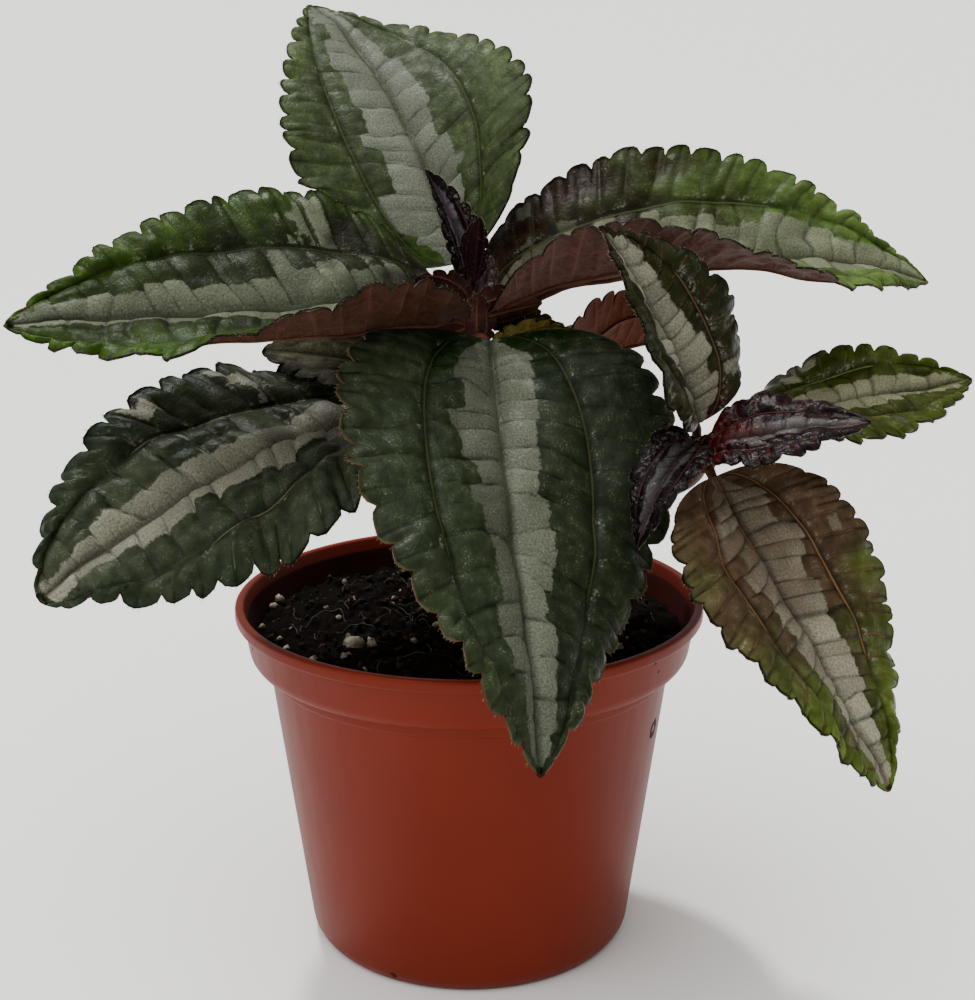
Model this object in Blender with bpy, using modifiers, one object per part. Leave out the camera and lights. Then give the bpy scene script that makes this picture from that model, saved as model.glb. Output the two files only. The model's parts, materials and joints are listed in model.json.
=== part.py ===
"""A potted silver tree pilea: a plastic nursery pot, its soil, one branching stem and its leaves.

Metres, +Z up. The origin is the middle of the pot's flat underside, +X is the right of the
plant as it is looked at from -Y. Lengths below are written in millimetres and turned to metres
by MM, angles are in degrees. Each leaf is its own piece: a toothed, quilted blade of even
thickness with its leaf stalk grown into it.
"""
import math
from collections import namedtuple

import bmesh
import bpy
import numpy as np
from mathutils import Vector

MM = 0.001
GAP = 0.3               # clearance between pieces that touch
MERGE = 0.01            # points nearer to each other than this become one

# Pot: a thin-walled round nursery pot, 9 cm across its rim
POT_HEIGHT = 68.0
RIM_RADIUS = 45.0
BASE_RADIUS = 31.4
BODY_TOP_RADIUS = 38.6  # body under its collar
WALL = 1.1
LIP_HEIGHT = 2.6        # proud band at the very top
LIP_STEP = 1.5          # how far it stands out past the collar
COLLAR_FOOT = 57.6      # height of the collar's rounded lower edge
COLLAR_TAPER = 1.2
BAND_FOOT = 55.2        # thin step between collar and body
BASE_ROUND = 2.0
DRAIN_HOLES = 6
DRAIN_RADIUS = 3.0
DRAIN_CIRCLE = 21.0
TURN_STEPS = 36

# Soil
SOIL_TOP = 62.0
SOIL_MOUND = 1.6        # the middle stands higher than the edge
SOIL_LUMPS = 0.9
PERLITE = 12            # white grains grown into the surface
PERLITE_SIZE = (1.0, 1.9)
SEED = 7

# Stem: x, y, z and radius along it; nodes, where leaves stand, are swollen
STEM_HOLE_FLOOR = 44.0
MAIN_STEM = [
    (-1, 2, 44.4, 2.5), (-1, 2, 62, 2.5), (-0.5, 2, 74, 2.3), (-0.5, 1.5, 78, 2.9), (0, 1.5, 83, 2.2),
    (0, 1, 100, 2.0), (0, 1, 104.5, 2.6), (0, 0.5, 109, 1.9), (0, 0, 115, 1.8), (0, -0.5, 118.5, 2.3),
    (0, 0, 122, 1.6), (0, 0, 124.8, 1.9), (0, 0, 127.2, 1.2),
]
SIDE_STEM = [
    (-0.5, 1.5, 77, 1.5), (5, -0.5, 79.5, 1.9), (13, -5.5, 83.5, 1.8), (23, -11, 88, 1.7),
    (32, -16.5, 92.5, 1.7), (38.5, -21.5, 97.5, 2.1), (40.5, -25.5, 101, 1.6), (40.5, -28, 104, 1.9),
    (40.5, -29.5, 105.2, 1.1),
]

# Leaf blades
BLADE = 0.7             # thickness
QUILT = 0.55            # how high the cells bulge between sunken veins
SIDE_VEIN = 0.5         # a lateral vein runs at this share of the half width
COLUMNS = (0.0, 0.25, 0.5, 0.8)
SMALL_LEAF = 36.0       # shorter ones have fewer columns
SMALL_COLUMNS = (0.0, 0.3, 0.65)
TOOTH_DEPTH = 0.34      # of its spacing
SMOOTH_FOOT = 0.17      # share of the margin beside the stalk that has no teeth
SMOOTH_TIP = 0.03       # and by the tip, which is itself a tooth
STALK_SINK = 2.6        # how far the stalk runs on under the midrib
BUD_RADIUS = 1.1        # of the bud that joins two young leaves
STALK_START = 0.15      # beyond the gap, so that its flat end clears a stem that leans

# base: where blade meets stalk. heading: compass angle of the midrib, 0 to the right, 90 away,
# -90 to the front; pitch: its rise; roll: turn about it. Each is (at the base, at the tip).
# fold_left, fold_right: rise of each half out of the midrib; curl_*: its further bend by its edge.
# stands: the stem that it grows from and the height of its stalk there; TOP is the stem's end.
TOP = None
SETTLE = 0.86           # share of the length after which fold and curl keep their tip values
OVATE = (0.44, 0.88)    # powers of the outline: widest at a third of the length
POINTED = (0.43, 0.76)
Leaf = namedtuple("Leaf", "name base heading pitch roll length width fold_left curl_left "
                  "fold_right curl_right shape teeth stands stalk colour")

LEAVES = [
    Leaf("leaf_back", (-2.5, 12.5, 130.5), (117, 128), (58, 21), (-45, 5), 75, 53,
         (20, 5), (35, -15), (25, 5), (15, 5), OVATE, 13, (MAIN_STEM, 125.2), 1.0, "olive"),
    Leaf("leaf_left", (-4, -1.5, 126), (211, 194), (3, -2), (-18, -24), 80, 57,
         (-13, -8), (115, 50), (14, 16), (10, 10), OVATE, 14, (MAIN_STEM, 124.6), 1.1, "green"),
    Leaf("leaf_right", (3.5, 0.5, 124), (4, 16), (20, -17), (3, 18), 88, 58,
         (25, 20), (5, 50), (0, 0), (85, 25), OVATE, 15, (MAIN_STEM, 124.6), 1.1, "green"),
    Leaf("leaf_front", (4, -10.5, 120), (-87, -79), (-24, -57), (-10, -22), 87, 61,
         (28, -8), (-5, -25), (8, 24), (8, -30), OVATE, 14, (MAIN_STEM, 118.5), 1.2, "dark"),
    Leaf("leaf_low_left", (-8, -4, 104.5), (211, 214), (2, -35), (0, -20), 80, 53,
         (20, -10), (-5, -35), (5, 20), (15, 10), OVATE, 13, (MAIN_STEM, 104.5), 1.2, "dark"),
    Leaf("leaf_low_right", (8.5, 6, 105), (28, 20), (28, 3), (12, -8), 40, 36,
         (20, 10), (-10, -10), (18, 45), (50, 65), OVATE, 9, (MAIN_STEM, 104.5), 1.1, "brown"),
    Leaf("leaf_small_left", (-5.5, 5.5, 107), (176, 180), (25, 0), (5, -20), 35, 28,
         (18, 0), (-12, -15), (14, 20), (-20, -14), POINTED, 7, (MAIN_STEM, 106.5), 0.9, "brown"),
    Leaf("leaf_small_right", (4.5, 0.5, 113), (6, 0), (34, 14), (-42, -42), 16.5, 15,
         (10, 5), (10, 10), (10, 10), (10, 10), POINTED, 6, (MAIN_STEM, 112.0), 0.8, "brown"),
    Leaf("side_leaf_front", (42, -34, 101), (-43, -32), (-50, -57), (5, 5), 60, 43,
         (22, 4), (5, 15), (10, 8), (-28, 25), POINTED, 13, (SIDE_STEM, 104.4), 1.0, "bronze"),
    Leaf("side_leaf_back", (39.5, -30, 109.5), (181, 180), (70, 55), (-53, -27), 38, 34,
         (38, 25), (2, -12), (22, 20), (-50, 18), OVATE, 10, (SIDE_STEM, 104.6), 0.9, "bronze"),
    Leaf("side_leaf_right", (47, -22.5, 108), (20, 25), (2, 6), (0, 16), 50, 33,
         (2, 30), (-35, 12), (10, 6), (-24, -14), OVATE, 11, (SIDE_STEM, 98.8), 1.0, "olive"),
]

# Youngest leaves, still in pairs at the two growing tips; each pair is grown together in a bud
YOUNG = {
    "crown_pair": [
        Leaf("crown_back", (-0.2, -2.4, 130.2), (177, 177), (80, 57), (-47, -30), 21, 10,
             (30, 25), (-25, -15), (45, 24), (-10, -16), POINTED, 5, (MAIN_STEM, TOP), 0.7, "young"),
        Leaf("crown_front", (1, -3, 129.5), (-75, -65), (80, 70), (0, 0), 12.5, 7,
             (38, 30), (-25, -15), (38, 30), (-10, -16), POINTED, 4, (MAIN_STEM, TOP), 0.7, "young"),
    ],
    "side_pair": [
        Leaf("side_young_right", (40.5, -38.5, 107), (-16, -11), (20, 6), (12, 6), 27, 22,
             (14, 10), (18, -4), (4, 0), (-12, -14), POINTED, 7, (SIDE_STEM, TOP), 0.8, "young"),
        Leaf("side_young_left", (38.5, -36, 107), (-120, -130), (2, -72), (-15, 15), 25, 12.5,
             (22, 12), (-8, -6), (42, -8), (12, -25), POINTED, 6, (SIDE_STEM, TOP), 0.8, "young"),
    ],
}

# colour, roughness
FINISH = {
    "pot": ("8a3524", 0.42),
    "soil": ("2a221b", 0.95),
    "stem": ("4c4a26", 0.6),
    "olive": ("44513a", 0.42),
    "green": ("3f5a22", 0.42),
    "dark": ("2b3d2c", 0.4),
    "brown": ("4f3426", 0.5),
    "bronze": ("4a3c28", 0.4),
    "young": ("35161c", 0.38),
}


def linear(hex_colour):
    """Scene-linear RGB of an sRGB hex colour."""
    channels = [int(hex_colour[i:i + 2], 16) / 255 for i in (0, 2, 4)]
    return [c / 12.92 if c <= 0.04045 else ((c + 0.055) / 1.055) ** 2.4 for c in channels]


def collection(name):
    """A new collection in the scene."""
    made = bpy.data.collections.new(name)
    bpy.context.scene.collection.children.link(made)
    return made


def mesh_object(name, mesh, home):
    """An object for a mesh, in one collection."""
    obj = bpy.data.objects.new(name, mesh)
    home.objects.link(obj)
    return obj


def finish(obj, finish_name):
    """Give the piece its own Principled material and smooth shading."""
    colour, roughness = FINISH[finish_name]
    material = bpy.data.materials.new(obj.name)
    material.use_nodes = True
    shader = material.node_tree.nodes["Principled BSDF"]
    shader.inputs["Base Color"].default_value = (*linear(colour), 1)
    shader.inputs["Roughness"].default_value = roughness
    shader.inputs["Metallic"].default_value = 0.0
    obj.data.materials.clear()
    obj.data.materials.append(material)
    obj.data.shade_smooth()
    obj.data.set_sharp_from_angle(angle=math.radians(40))


def baked(obj, home):
    """The piece as a plain mesh, with its modifiers applied and its doubles merged."""
    graph = bpy.context.evaluated_depsgraph_get()
    mesh = bpy.data.meshes.new_from_object(obj.evaluated_get(graph))
    shape = bmesh.new()
    shape.from_mesh(mesh)
    bmesh.ops.remove_doubles(shape, verts=shape.verts, dist=MERGE * MM)
    shape.to_mesh(mesh)
    shape.free()
    name = obj.name
    place = obj.matrix_world.copy()
    bpy.data.objects.remove(obj)
    made = mesh_object(name, mesh, home)
    made.matrix_world = place
    return made


def boolean(obj, others, operation, home):
    """Join to obj, or cut from it, every object of a list."""
    tools = collection("tools")
    for other in others:
        for owner in list(other.users_collection):
            owner.objects.unlink(other)
        tools.objects.link(other)
    modifier = obj.modifiers.new(operation.lower(), "BOOLEAN")
    modifier.operation = operation
    modifier.operand_type = "COLLECTION"
    modifier.collection = tools
    made = baked(obj, home)
    for other in others:
        bpy.data.objects.remove(other)
    bpy.data.collections.remove(tools)
    return made


def turned(name, profile, home):
    """A profile of (radius, height) in mm, turned about Z; both ends lie on the axis."""
    mesh = bpy.data.meshes.new(name)
    points = [(radius * MM, 0, height * MM) for radius, height in profile]
    mesh.from_pydata(points, [(i, i + 1) for i in range(len(points) - 1)], [])
    obj = mesh_object(name, mesh, home)
    screw = obj.modifiers.new("turn", "SCREW")
    screw.steps = TURN_STEPS
    screw.render_steps = TURN_STEPS
    screw.use_merge_vertices = True
    screw.merge_threshold = 1e-5
    return baked(obj, home)


def tube(name, points, home, sides_level=2):
    """A tapering tube with closed ends through (x, y, z, radius) in mm."""
    curve = bpy.data.curves.new(name, "CURVE")
    curve.dimensions = "3D"
    curve.bevel_depth = MM
    curve.bevel_resolution = sides_level
    curve.use_fill_caps = True
    spline = curve.splines.new("POLY")
    spline.points.add(len(points) - 1)
    for place, (x, y, z, radius) in zip(spline.points, points):
        place.co = (x * MM, y * MM, z * MM, 1)
        place.radius = radius
    obj = bpy.data.objects.new(name, curve)
    home.objects.link(obj)
    return baked(obj, home)


def smooth_route(points, steps):
    """Points of a Catmull-Rom curve through the given ones, steps to each stretch."""
    row = np.array(points, dtype=float)
    padded = np.vstack([2 * row[0] - row[1], row, 2 * row[-1] - row[-2]])
    route = []
    for i in range(1, len(padded) - 2):
        p0, p1, p2, p3 = padded[i - 1:i + 3]
        for t in np.arange(steps) / steps:
            route.append(0.5 * (2 * p1 + (p2 - p0) * t + (2 * p0 - 5 * p1 + 4 * p2 - p3) * t ** 2
                                + (3 * p1 - p0 - 3 * p2 + p3) * t ** 3))
    route.append(row[-1])
    return [tuple(point) for point in route]


def pot_outline():
    """Outer side of the pot from rim to base, as (radius, height)."""
    collar = RIM_RADIUS - LIP_STEP
    lip_foot = POT_HEIGHT - LIP_HEIGHT
    corner = [(BASE_RADIUS - BASE_ROUND * (1 - math.sin(a)), BASE_ROUND * (1 - math.cos(a)))
              for a in np.radians((85, 55, 28, 0))]
    return [
        (RIM_RADIUS - 0.5, POT_HEIGHT),
        (RIM_RADIUS, POT_HEIGHT - 0.5),
        (RIM_RADIUS, lip_foot + 0.4),
        (collar, lip_foot),
        (collar - COLLAR_TAPER, COLLAR_FOOT + 1.4),
        (collar - COLLAR_TAPER - 1.0, COLLAR_FOOT),
        (BODY_TOP_RADIUS + 0.8, COLLAR_FOOT - 0.3),
        (BODY_TOP_RADIUS + 0.6, BAND_FOOT),
        (BODY_TOP_RADIUS, BAND_FOOT - 0.3),
    ] + corner


def inset(profile, distance):
    """A (radius, height) profile that runs upwards, moved towards the axis by a distance.

    Each point moves square to the mean direction of the two stretches that meet in it.
    """
    points = np.array(profile)
    run = np.gradient(points, axis=0)
    run /= np.linalg.norm(run, axis=1)[:, None]
    return [tuple(p) for p in points + distance * np.column_stack([-run[:, 1], run[:, 0]])]


def pot_inside():
    """Inner side of the pot from its floor to its rim, as (radius, height): the outside, inset."""
    wall = inset(pot_outline()[:1:-1], WALL)
    wall = [(radius, height) for radius, height in wall if height > WALL + 0.4]
    return [(BASE_RADIUS - WALL - 0.6, WALL)] + wall + [(RIM_RADIUS - LIP_STEP + 0.2, POT_HEIGHT)]


def make_pot(home):
    """Turned thin wall with its lip, collar and step, and drain holes in a ring in the base."""
    profile = [(0, WALL)] + pot_inside() + pot_outline() + [(0, 0)]
    pot = turned("pot", profile, home)
    drills = []
    for i in range(DRAIN_HOLES):
        angle = 2 * math.pi * i / DRAIN_HOLES
        shape = bmesh.new()
        bmesh.ops.create_cone(shape, cap_ends=True, segments=12, radius1=DRAIN_RADIUS * MM,
                              radius2=DRAIN_RADIUS * MM, depth=4 * WALL * MM)
        mesh = bpy.data.meshes.new("drain")
        shape.to_mesh(mesh)
        shape.free()
        drill = mesh_object("drain", mesh, home)
        drill.location = (DRAIN_CIRCLE * MM * math.cos(angle), DRAIN_CIRCLE * MM * math.sin(angle), 0)
        drills.append(drill)
    bpy.context.view_layer.update()
    pot = boolean(pot, drills, "DIFFERENCE", home)
    finish(pot, "pot")


def soil_height(x, y):
    """Height in mm of the soil at x, y in mm: a low mound with crossed waves for clods."""
    radius = np.hypot(x, y) / RIM_RADIUS
    waves = (np.sin(0.42 * x + 1.1) * np.sin(0.47 * y + 0.3)
             + 0.7 * np.sin(0.83 * x - 0.51 * y + 2.0) + 0.5 * np.sin(0.37 * x + 1.13 * y))
    return SOIL_TOP + SOIL_MOUND * (1 - radius ** 2) - SOIL_MOUND / 2 + SOIL_LUMPS * waves / 2.2


def perlite_places():
    """Grain centres (x, y) in mm: a loose band over the front left, where the soil lies bare."""
    draw = np.random.default_rng(SEED)
    turn = np.radians(draw.uniform(175, 305, PERLITE))
    reach = draw.uniform(22, 37, PERLITE)
    return np.column_stack([reach * np.cos(turn), reach * np.sin(turn)])


def make_soil(home):
    """Soil that fills the pot a hair clear of its wall, with clods, grains and the stem's hole."""
    side = [point for point in inset(pot_inside(), GAP) if point[1] < SOIL_TOP - 1.5]
    edge = side[-1][0]
    top = [(radius, SOIL_TOP) for radius in (6, 12, 18, 24, 30, 35.5)]
    profile = [(0, SOIL_TOP)] + top + [(edge - 0.6, SOIL_TOP), (edge, SOIL_TOP - 1.0)]
    profile += side[:0:-1] + [(side[1][0] - 1, WALL + GAP), (0, WALL + GAP)]
    soil = turned("soil", profile, home)
    count = len(soil.data.vertices)
    places = np.empty(count * 3)
    soil.data.vertices.foreach_get("co", places)
    places = places.reshape(-1, 3)
    x, y, z = places.T / MM
    upper = z > SOIL_TOP - 0.5
    places[upper, 2] = soil_height(x[upper], y[upper]) * MM
    soil.data.vertices.foreach_set("co", places.ravel())
    draw = np.random.default_rng(SEED + 1)
    grains = []
    for gx, gy in perlite_places():
        shape = bmesh.new()
        bmesh.ops.create_icosphere(shape, subdivisions=1, radius=draw.uniform(*PERLITE_SIZE) * MM)
        mesh = bpy.data.meshes.new("grain")
        shape.to_mesh(mesh)
        shape.free()
        grain = mesh_object("grain", mesh, home)
        grain.location = (gx * MM, gy * MM, (soil_height(gx, gy) + 0.35) * MM)
        grain.rotation_euler = draw.uniform(0, math.pi, 3)
        grains.append(grain)
    bpy.context.view_layer.update()
    soil = boolean(soil, grains, "UNION", home)
    x, y, bottom, radius = MAIN_STEM[0]
    depth = SOIL_TOP + 10 - STEM_HOLE_FLOOR
    shape = bmesh.new()
    bmesh.ops.create_cone(shape, cap_ends=True, segments=16, radius1=(radius + GAP) * MM,
                          radius2=(radius + GAP) * MM, depth=depth * MM)
    mesh = bpy.data.meshes.new("stem_hole")
    shape.to_mesh(mesh)
    shape.free()
    hole = mesh_object("stem_hole", mesh, home)
    hole.location = (x * MM, y * MM, (STEM_HOLE_FLOOR + depth / 2) * MM)
    bpy.context.view_layer.update()
    soil = boolean(soil, [hole], "DIFFERENCE", home)
    finish(soil, "soil")


def make_stem(home):
    """Main stem and the side shoot that forks from it, grown together."""
    stem = tube("stem", smooth_route(MAIN_STEM, 2), home)
    branch = tube("branch", smooth_route(SIDE_STEM, 2), home)
    stem = boolean(stem, [branch], "UNION", home)
    finish(stem, "stem")


def ease(t):
    """0 to 1 with level ends: 3 t^2 - 2 t^3."""
    t = np.clip(t, 0, 1)
    return t * t * (3 - 2 * t)


def outline(leaf, turn):
    """Margin at angle turn (0 at the base, pi at the tip): share of the length, of the half width.

    Along is sin^2(turn / 2), across is along^a (1 - along)^b over its own maximum.
    """
    a, b = leaf.shape
    peak = a / (a + b)
    along = np.sin(turn / 2) ** 2
    return along, along ** a * (1 - along) ** b / (peak ** a * (1 - peak) ** b)


def even_turns(leaf, shares):
    """Outline angles at which the given shares of the margin's length are passed."""
    turn = np.linspace(0, math.pi, 721)
    along, across = outline(leaf, turn)
    steps = np.hypot(np.diff(along * leaf.length), np.diff(across * leaf.width / 2))
    passed = np.concatenate([[0], np.cumsum(steps)])
    return np.interp(shares, passed / passed[-1], turn)


def blade_points(leaf, along, across, side, lift):
    """Points in mm of a flat leaf bent into place.

    The midrib is the sum of short steps in the direction of its heading and pitch. At each of its
    points a half is an arc that leaves it at the fold angle and bends on by the curl; side is 1 on
    the left of the midrib, -1 on the right; lift raises a point along the arc's own normal.
    """
    t = np.linspace(0, 1, 121)
    pitch = np.radians(np.interp(t, (0, 1), leaf.pitch))
    heading = np.radians(np.interp(t, (0, 1), leaf.heading))
    step = np.stack([np.cos(pitch) * np.cos(heading), np.cos(pitch) * np.sin(heading), np.sin(pitch)], -1)
    rib = np.vstack([np.zeros(3), np.cumsum((step[1:] + step[:-1]) / 2 * (t[1] - t[0]), 0)])
    rib = rib * leaf.length + np.array(leaf.base)
    point = np.stack([np.interp(along, t, rib[:, i]) for i in range(3)], -1)
    tangent = np.stack([np.interp(along, t, step[:, i]) for i in range(3)], -1)
    turn = np.interp(along, t, heading)
    level = np.stack([-np.sin(turn), np.cos(turn), 0 * turn], -1)
    up = np.cross(tangent, level)
    roll = np.radians(np.interp(along, (0, 1), leaf.roll))[..., None]
    sideways = np.cos(roll) * level + np.sin(roll) * up
    normal = np.cos(roll) * up - np.sin(roll) * level
    share = ease(along / SETTLE)
    fold_ends, curl_ends = ((leaf.fold_left, leaf.curl_left) if side > 0
                            else (leaf.fold_right, leaf.curl_right))
    fold = np.radians(fold_ends[0] + (fold_ends[1] - fold_ends[0]) * share)
    curl = np.radians(curl_ends[0] + (curl_ends[1] - curl_ends[0]) * share)
    bend = curl / (leaf.width / 2)
    bend = np.where(np.abs(bend) < 1e-6, 1e-6, bend)
    reach = across * leaf.width / 2
    angle = fold + bend * reach
    out = (np.sin(angle) - np.sin(fold)) / bend - lift * np.sin(angle)
    rise = (np.cos(fold) - np.cos(angle)) / bend + lift * np.cos(angle)
    return point + side * out[..., None] * sideways + rise[..., None] * normal


def quilt(across, between):
    """Lift in mm of a bulged cell: sin^2 of the way across, higher between two cross veins."""
    return QUILT * np.sin(2 * math.pi * across) ** 2 * (0.25 + 0.75 * between)


def toothed_margin(leaf, passed, cut):
    """Points of the margin at the given shares of its length, moved in square to it.

    cut is 1 in the notch between two teeth and 0 at a tooth's tip. A notch is less deep by the
    stalk and where the blade is narrow.
    """
    turn = even_turns(leaf, passed)
    along, across = outline(leaf, turn)
    ahead, wider = outline(leaf, turn + 0.001)
    run, out = (ahead - along) * leaf.length, (wider - across) * leaf.width / 2
    size = np.hypot(run, out)
    spacing = (1 - SMOOTH_FOOT - SMOOTH_TIP) / leaf.teeth * 1.15 * leaf.length
    depth = cut * np.minimum(TOOTH_DEPTH * spacing, 0.12 * across * leaf.width / 2)
    depth = depth * np.clip((passed - SMOOTH_FOOT) / 0.14, 0.1, 1)
    return along + depth * out / size / leaf.length, across - depth * run / size / (leaf.width / 2)


def half_rows(leaf, side):
    """Rows of one half: inner points, two rows to a tooth, and the margin's three points to each.

    A row runs from the midrib over the lateral vein to the margin. It meets the midrib and the
    lateral vein at the share of the toothed margin that it has passed, so it sweeps forward.
    """
    teeth = leaf.teeth
    spacing = (1 - SMOOTH_FOOT - SMOOTH_TIP) / teeth
    first = (SMOOTH_FOOT + np.arange(teeth) * spacing)[:, None]
    notch = np.ones(teeth)
    notch[0] = 0
    passed = (first + np.array([0, 0.6]) * spacing).ravel()
    row_cut = (notch[:, None] * np.array([1, 0])).ravel()
    end_along, end_across = toothed_margin(leaf, passed, row_cut)
    toothed = (passed - SMOOTH_FOOT) / (1 - SMOOTH_FOOT)
    vein_along, vein_across = outline(leaf, 2 * np.arcsin(np.sqrt(toothed)))
    share = np.array(COLUMNS if leaf.length > SMALL_LEAF else SMALL_COLUMNS)
    within = np.minimum(share / SIDE_VEIN, 1)
    outer = np.clip(share - SIDE_VEIN, 0, 1) / (1 - SIDE_VEIN)
    vein_reach = SIDE_VEIN * vein_across[:, None]
    inner_along = vein_along[:, None] + (end_along - vein_along)[:, None] * outer
    inner_across = vein_reach * within + (end_across[:, None] - vein_reach) * outer
    between = np.tile([1.0, 0.0], teeth)[:, None]
    size = min(1.0, leaf.width / 40) * np.minimum(toothed / toothed[1], 1)[:, None]
    inner = blade_points(leaf, inner_along, inner_across, side, size * quilt(share, between))
    edge_passed = (first + np.array([0, 0.3, 0.8]) * spacing).ravel()
    edge_cut = (notch[:, None] * np.array([1, 0.1, 0])).ravel()
    along, across = toothed_margin(leaf, edge_passed, edge_cut)
    edge = blade_points(leaf, along, across, side, np.zeros_like(along))
    return inner, edge


def blade_mesh(leaf):
    """Open middle surface of the blade as triangles, both halves sharing the midrib."""
    vertices = [blade_points(leaf, np.array([1.0]), np.array([0.0]), 1, np.zeros(1))[0]]
    faces = []
    rib_index = None
    for side in (1, -1):
        inner, edge = half_rows(leaf, side)
        rows, columns = inner.shape[:2]
        if rib_index is None:
            rib_index = list(range(len(vertices), len(vertices) + rows))
            vertices.extend(inner[:, 0])
        index = [[rib_index[r]] + [len(vertices) + r * (columns - 1) + c for c in range(columns - 1)]
                 for r in range(rows)]
        vertices.extend(inner[:, 1:].reshape(-1, 3))
        rim = [len(vertices) + i for i in range(len(edge))]
        vertices.extend(edge)
        triangles = []
        for c in range(columns - 1):
            for r in range(rows - 1):
                a, b = index[r][c], index[r][c + 1]
                d, e = index[r + 1][c], index[r + 1][c + 1]
                triangles += [(a, b, d), (b, e, d)] if r % 2 else [(a, b, e), (a, e, d)]
            triangles.append((0, index[-1][c], index[-1][c + 1]))
        last = columns - 1
        for k in range(leaf.teeth):
            notch, shoulder, point = rim[3 * k], rim[3 * k + 1], rim[3 * k + 2]
            cell, vein = index[2 * k][last], index[2 * k + 1][last]
            triangles += [(cell, notch, shoulder), (cell, shoulder, vein), (vein, shoulder, point)]
            if k + 1 < leaf.teeth:
                following, next_notch = index[2 * k + 2][last], rim[3 * k + 3]
                triangles += [(vein, point, following), (following, point, next_notch)]
            else:
                triangles.append((vein, point, 0))
        faces += triangles if side < 0 else [(a, c, b) for a, b, c in triangles]
    mesh = bpy.data.meshes.new(leaf.name)
    mesh.from_pydata([tuple(v * MM) for v in vertices], [], faces)
    shape = bmesh.new()
    shape.from_mesh(mesh)
    bmesh.ops.remove_doubles(shape, verts=shape.verts, dist=1e-7)
    shape.to_mesh(mesh)
    shape.free()
    return mesh


def make_blade(leaf, home):
    """The blade with its thickness, as a closed mesh."""
    blade = mesh_object(leaf.name, blade_mesh(leaf), home)
    thick = blade.modifiers.new("thickness", "SOLIDIFY")
    thick.thickness = BLADE * MM
    thick.offset = 0
    return baked(blade, home)


def stem_place(stem, height):
    """Axis point, direction and radius of a stem at a height."""
    route = np.array(stem)
    place = np.array([np.interp(height, route[:, 2], route[:, i]) for i in range(3)])
    above = np.array([np.interp(height + 1, route[:, 2], route[:, i]) for i in range(3)])
    way = (above - place) / np.linalg.norm(above - place)
    return place, way, float(np.interp(height, route[:, 2], route[:, 3]))


def bud_place(stem):
    """Middle in mm of the bud that sits a hair off a stem's end."""
    place, way, _ = stem_place(stem, stem[-1][2] - 1)
    return place + way * (1 / way[2] + GAP + STALK_START + BUD_RADIUS)


def make_stalk(leaf, home):
    """Leaf stalk from just off the stem, square to it at first, on to a little under the midrib."""
    stem, height = leaf.stands
    along = np.array([0.0, STALK_SINK / leaf.length])
    foot, end = blade_points(leaf, along, 0 * along, 1, 0 * along)
    if height is TOP:
        start = bud_place(stem)
        out = (foot - start) / np.linalg.norm(foot - start)
    else:
        place, way, radius = stem_place(stem, height)
        out = foot - place
        out = out - way * out.dot(way)
        out = out / np.linalg.norm(out)
        start = place + out * (radius + GAP + STALK_START)
    room = np.linalg.norm(foot - start)
    points = [(*start, leaf.stalk)]
    if room > 3:
        bend = start + out * 0.8
        middle = (bend + foot) / 2 + out * 0.08 * room
        points += [(*bend, leaf.stalk), (*middle, leaf.stalk * 0.9)]
    points += [(*foot, leaf.stalk * 0.85), (*end, leaf.stalk * 0.6)]
    return tube(leaf.name + "_stalk", points, home, 1)


def make_leaf(leaf, home):
    """One leaf: blade and stalk grown together."""
    blade = make_blade(leaf, home)
    made = boolean(blade, [make_stalk(leaf, home)], "UNION", home)
    finish(made, leaf.colour)


def make_pair(name, pair, home):
    """Two young leaves and their short stalks, grown together at a bud."""
    blades = [make_blade(leaf, home) for leaf in pair]
    stalks = [make_stalk(leaf, home) for leaf in pair]
    shape = bmesh.new()
    bmesh.ops.create_icosphere(shape, subdivisions=1, radius=BUD_RADIUS * MM)
    mesh = bpy.data.meshes.new("bud")
    shape.to_mesh(mesh)
    shape.free()
    bud = mesh_object("bud", mesh, home)
    bud.location = Vector(bud_place(pair[0].stands[0])) * MM
    bpy.context.view_layer.update()
    made = boolean(blades[0], [bud] + stalks + blades[1:], "UNION", home)
    made.name = name
    made.data.name = name
    finish(made, pair[0].colour)


def main():
    for old in list(bpy.data.objects):
        bpy.data.objects.remove(old)
    home = collection("potted_silver_tree_pilea")
    make_pot(home)
    make_soil(home)
    make_stem(home)
    for leaf in LEAVES:
        make_leaf(leaf, home)
    for name, pair in YOUNG.items():
        make_pair(name, pair, home)


main()
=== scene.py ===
# %% [markdown]
# # A potted silver tree pilea
#
# The plant is a soft-stemmed houseplant in a nursery pot 9 cm across. Its leaves are quilted: the
# skin bulges between sunken veins, a silver band follows the midrib, and the margin is toothed.
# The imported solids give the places, and this script dresses them. It is read from top to bottom:
# first the camera and the light, then the pot and the soil, then the stem, and then the leaves.

# %% The fixed frame
import json
import math
from collections import namedtuple
from types import SimpleNamespace

import bpy
import numpy as np
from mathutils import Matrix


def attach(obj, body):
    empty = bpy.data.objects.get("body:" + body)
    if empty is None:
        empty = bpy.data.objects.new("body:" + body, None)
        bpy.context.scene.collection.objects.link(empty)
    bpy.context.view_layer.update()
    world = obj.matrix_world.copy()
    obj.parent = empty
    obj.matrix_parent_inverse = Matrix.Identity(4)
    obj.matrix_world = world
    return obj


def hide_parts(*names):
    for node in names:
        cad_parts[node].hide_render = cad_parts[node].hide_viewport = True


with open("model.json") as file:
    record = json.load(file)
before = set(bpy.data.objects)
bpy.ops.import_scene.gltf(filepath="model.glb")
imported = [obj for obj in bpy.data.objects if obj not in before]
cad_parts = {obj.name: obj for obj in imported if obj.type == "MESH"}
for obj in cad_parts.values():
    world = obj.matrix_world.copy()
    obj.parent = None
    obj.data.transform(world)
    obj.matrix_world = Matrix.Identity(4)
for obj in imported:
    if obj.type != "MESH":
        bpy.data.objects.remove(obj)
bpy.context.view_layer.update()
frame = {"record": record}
MM = 0.001

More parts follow.
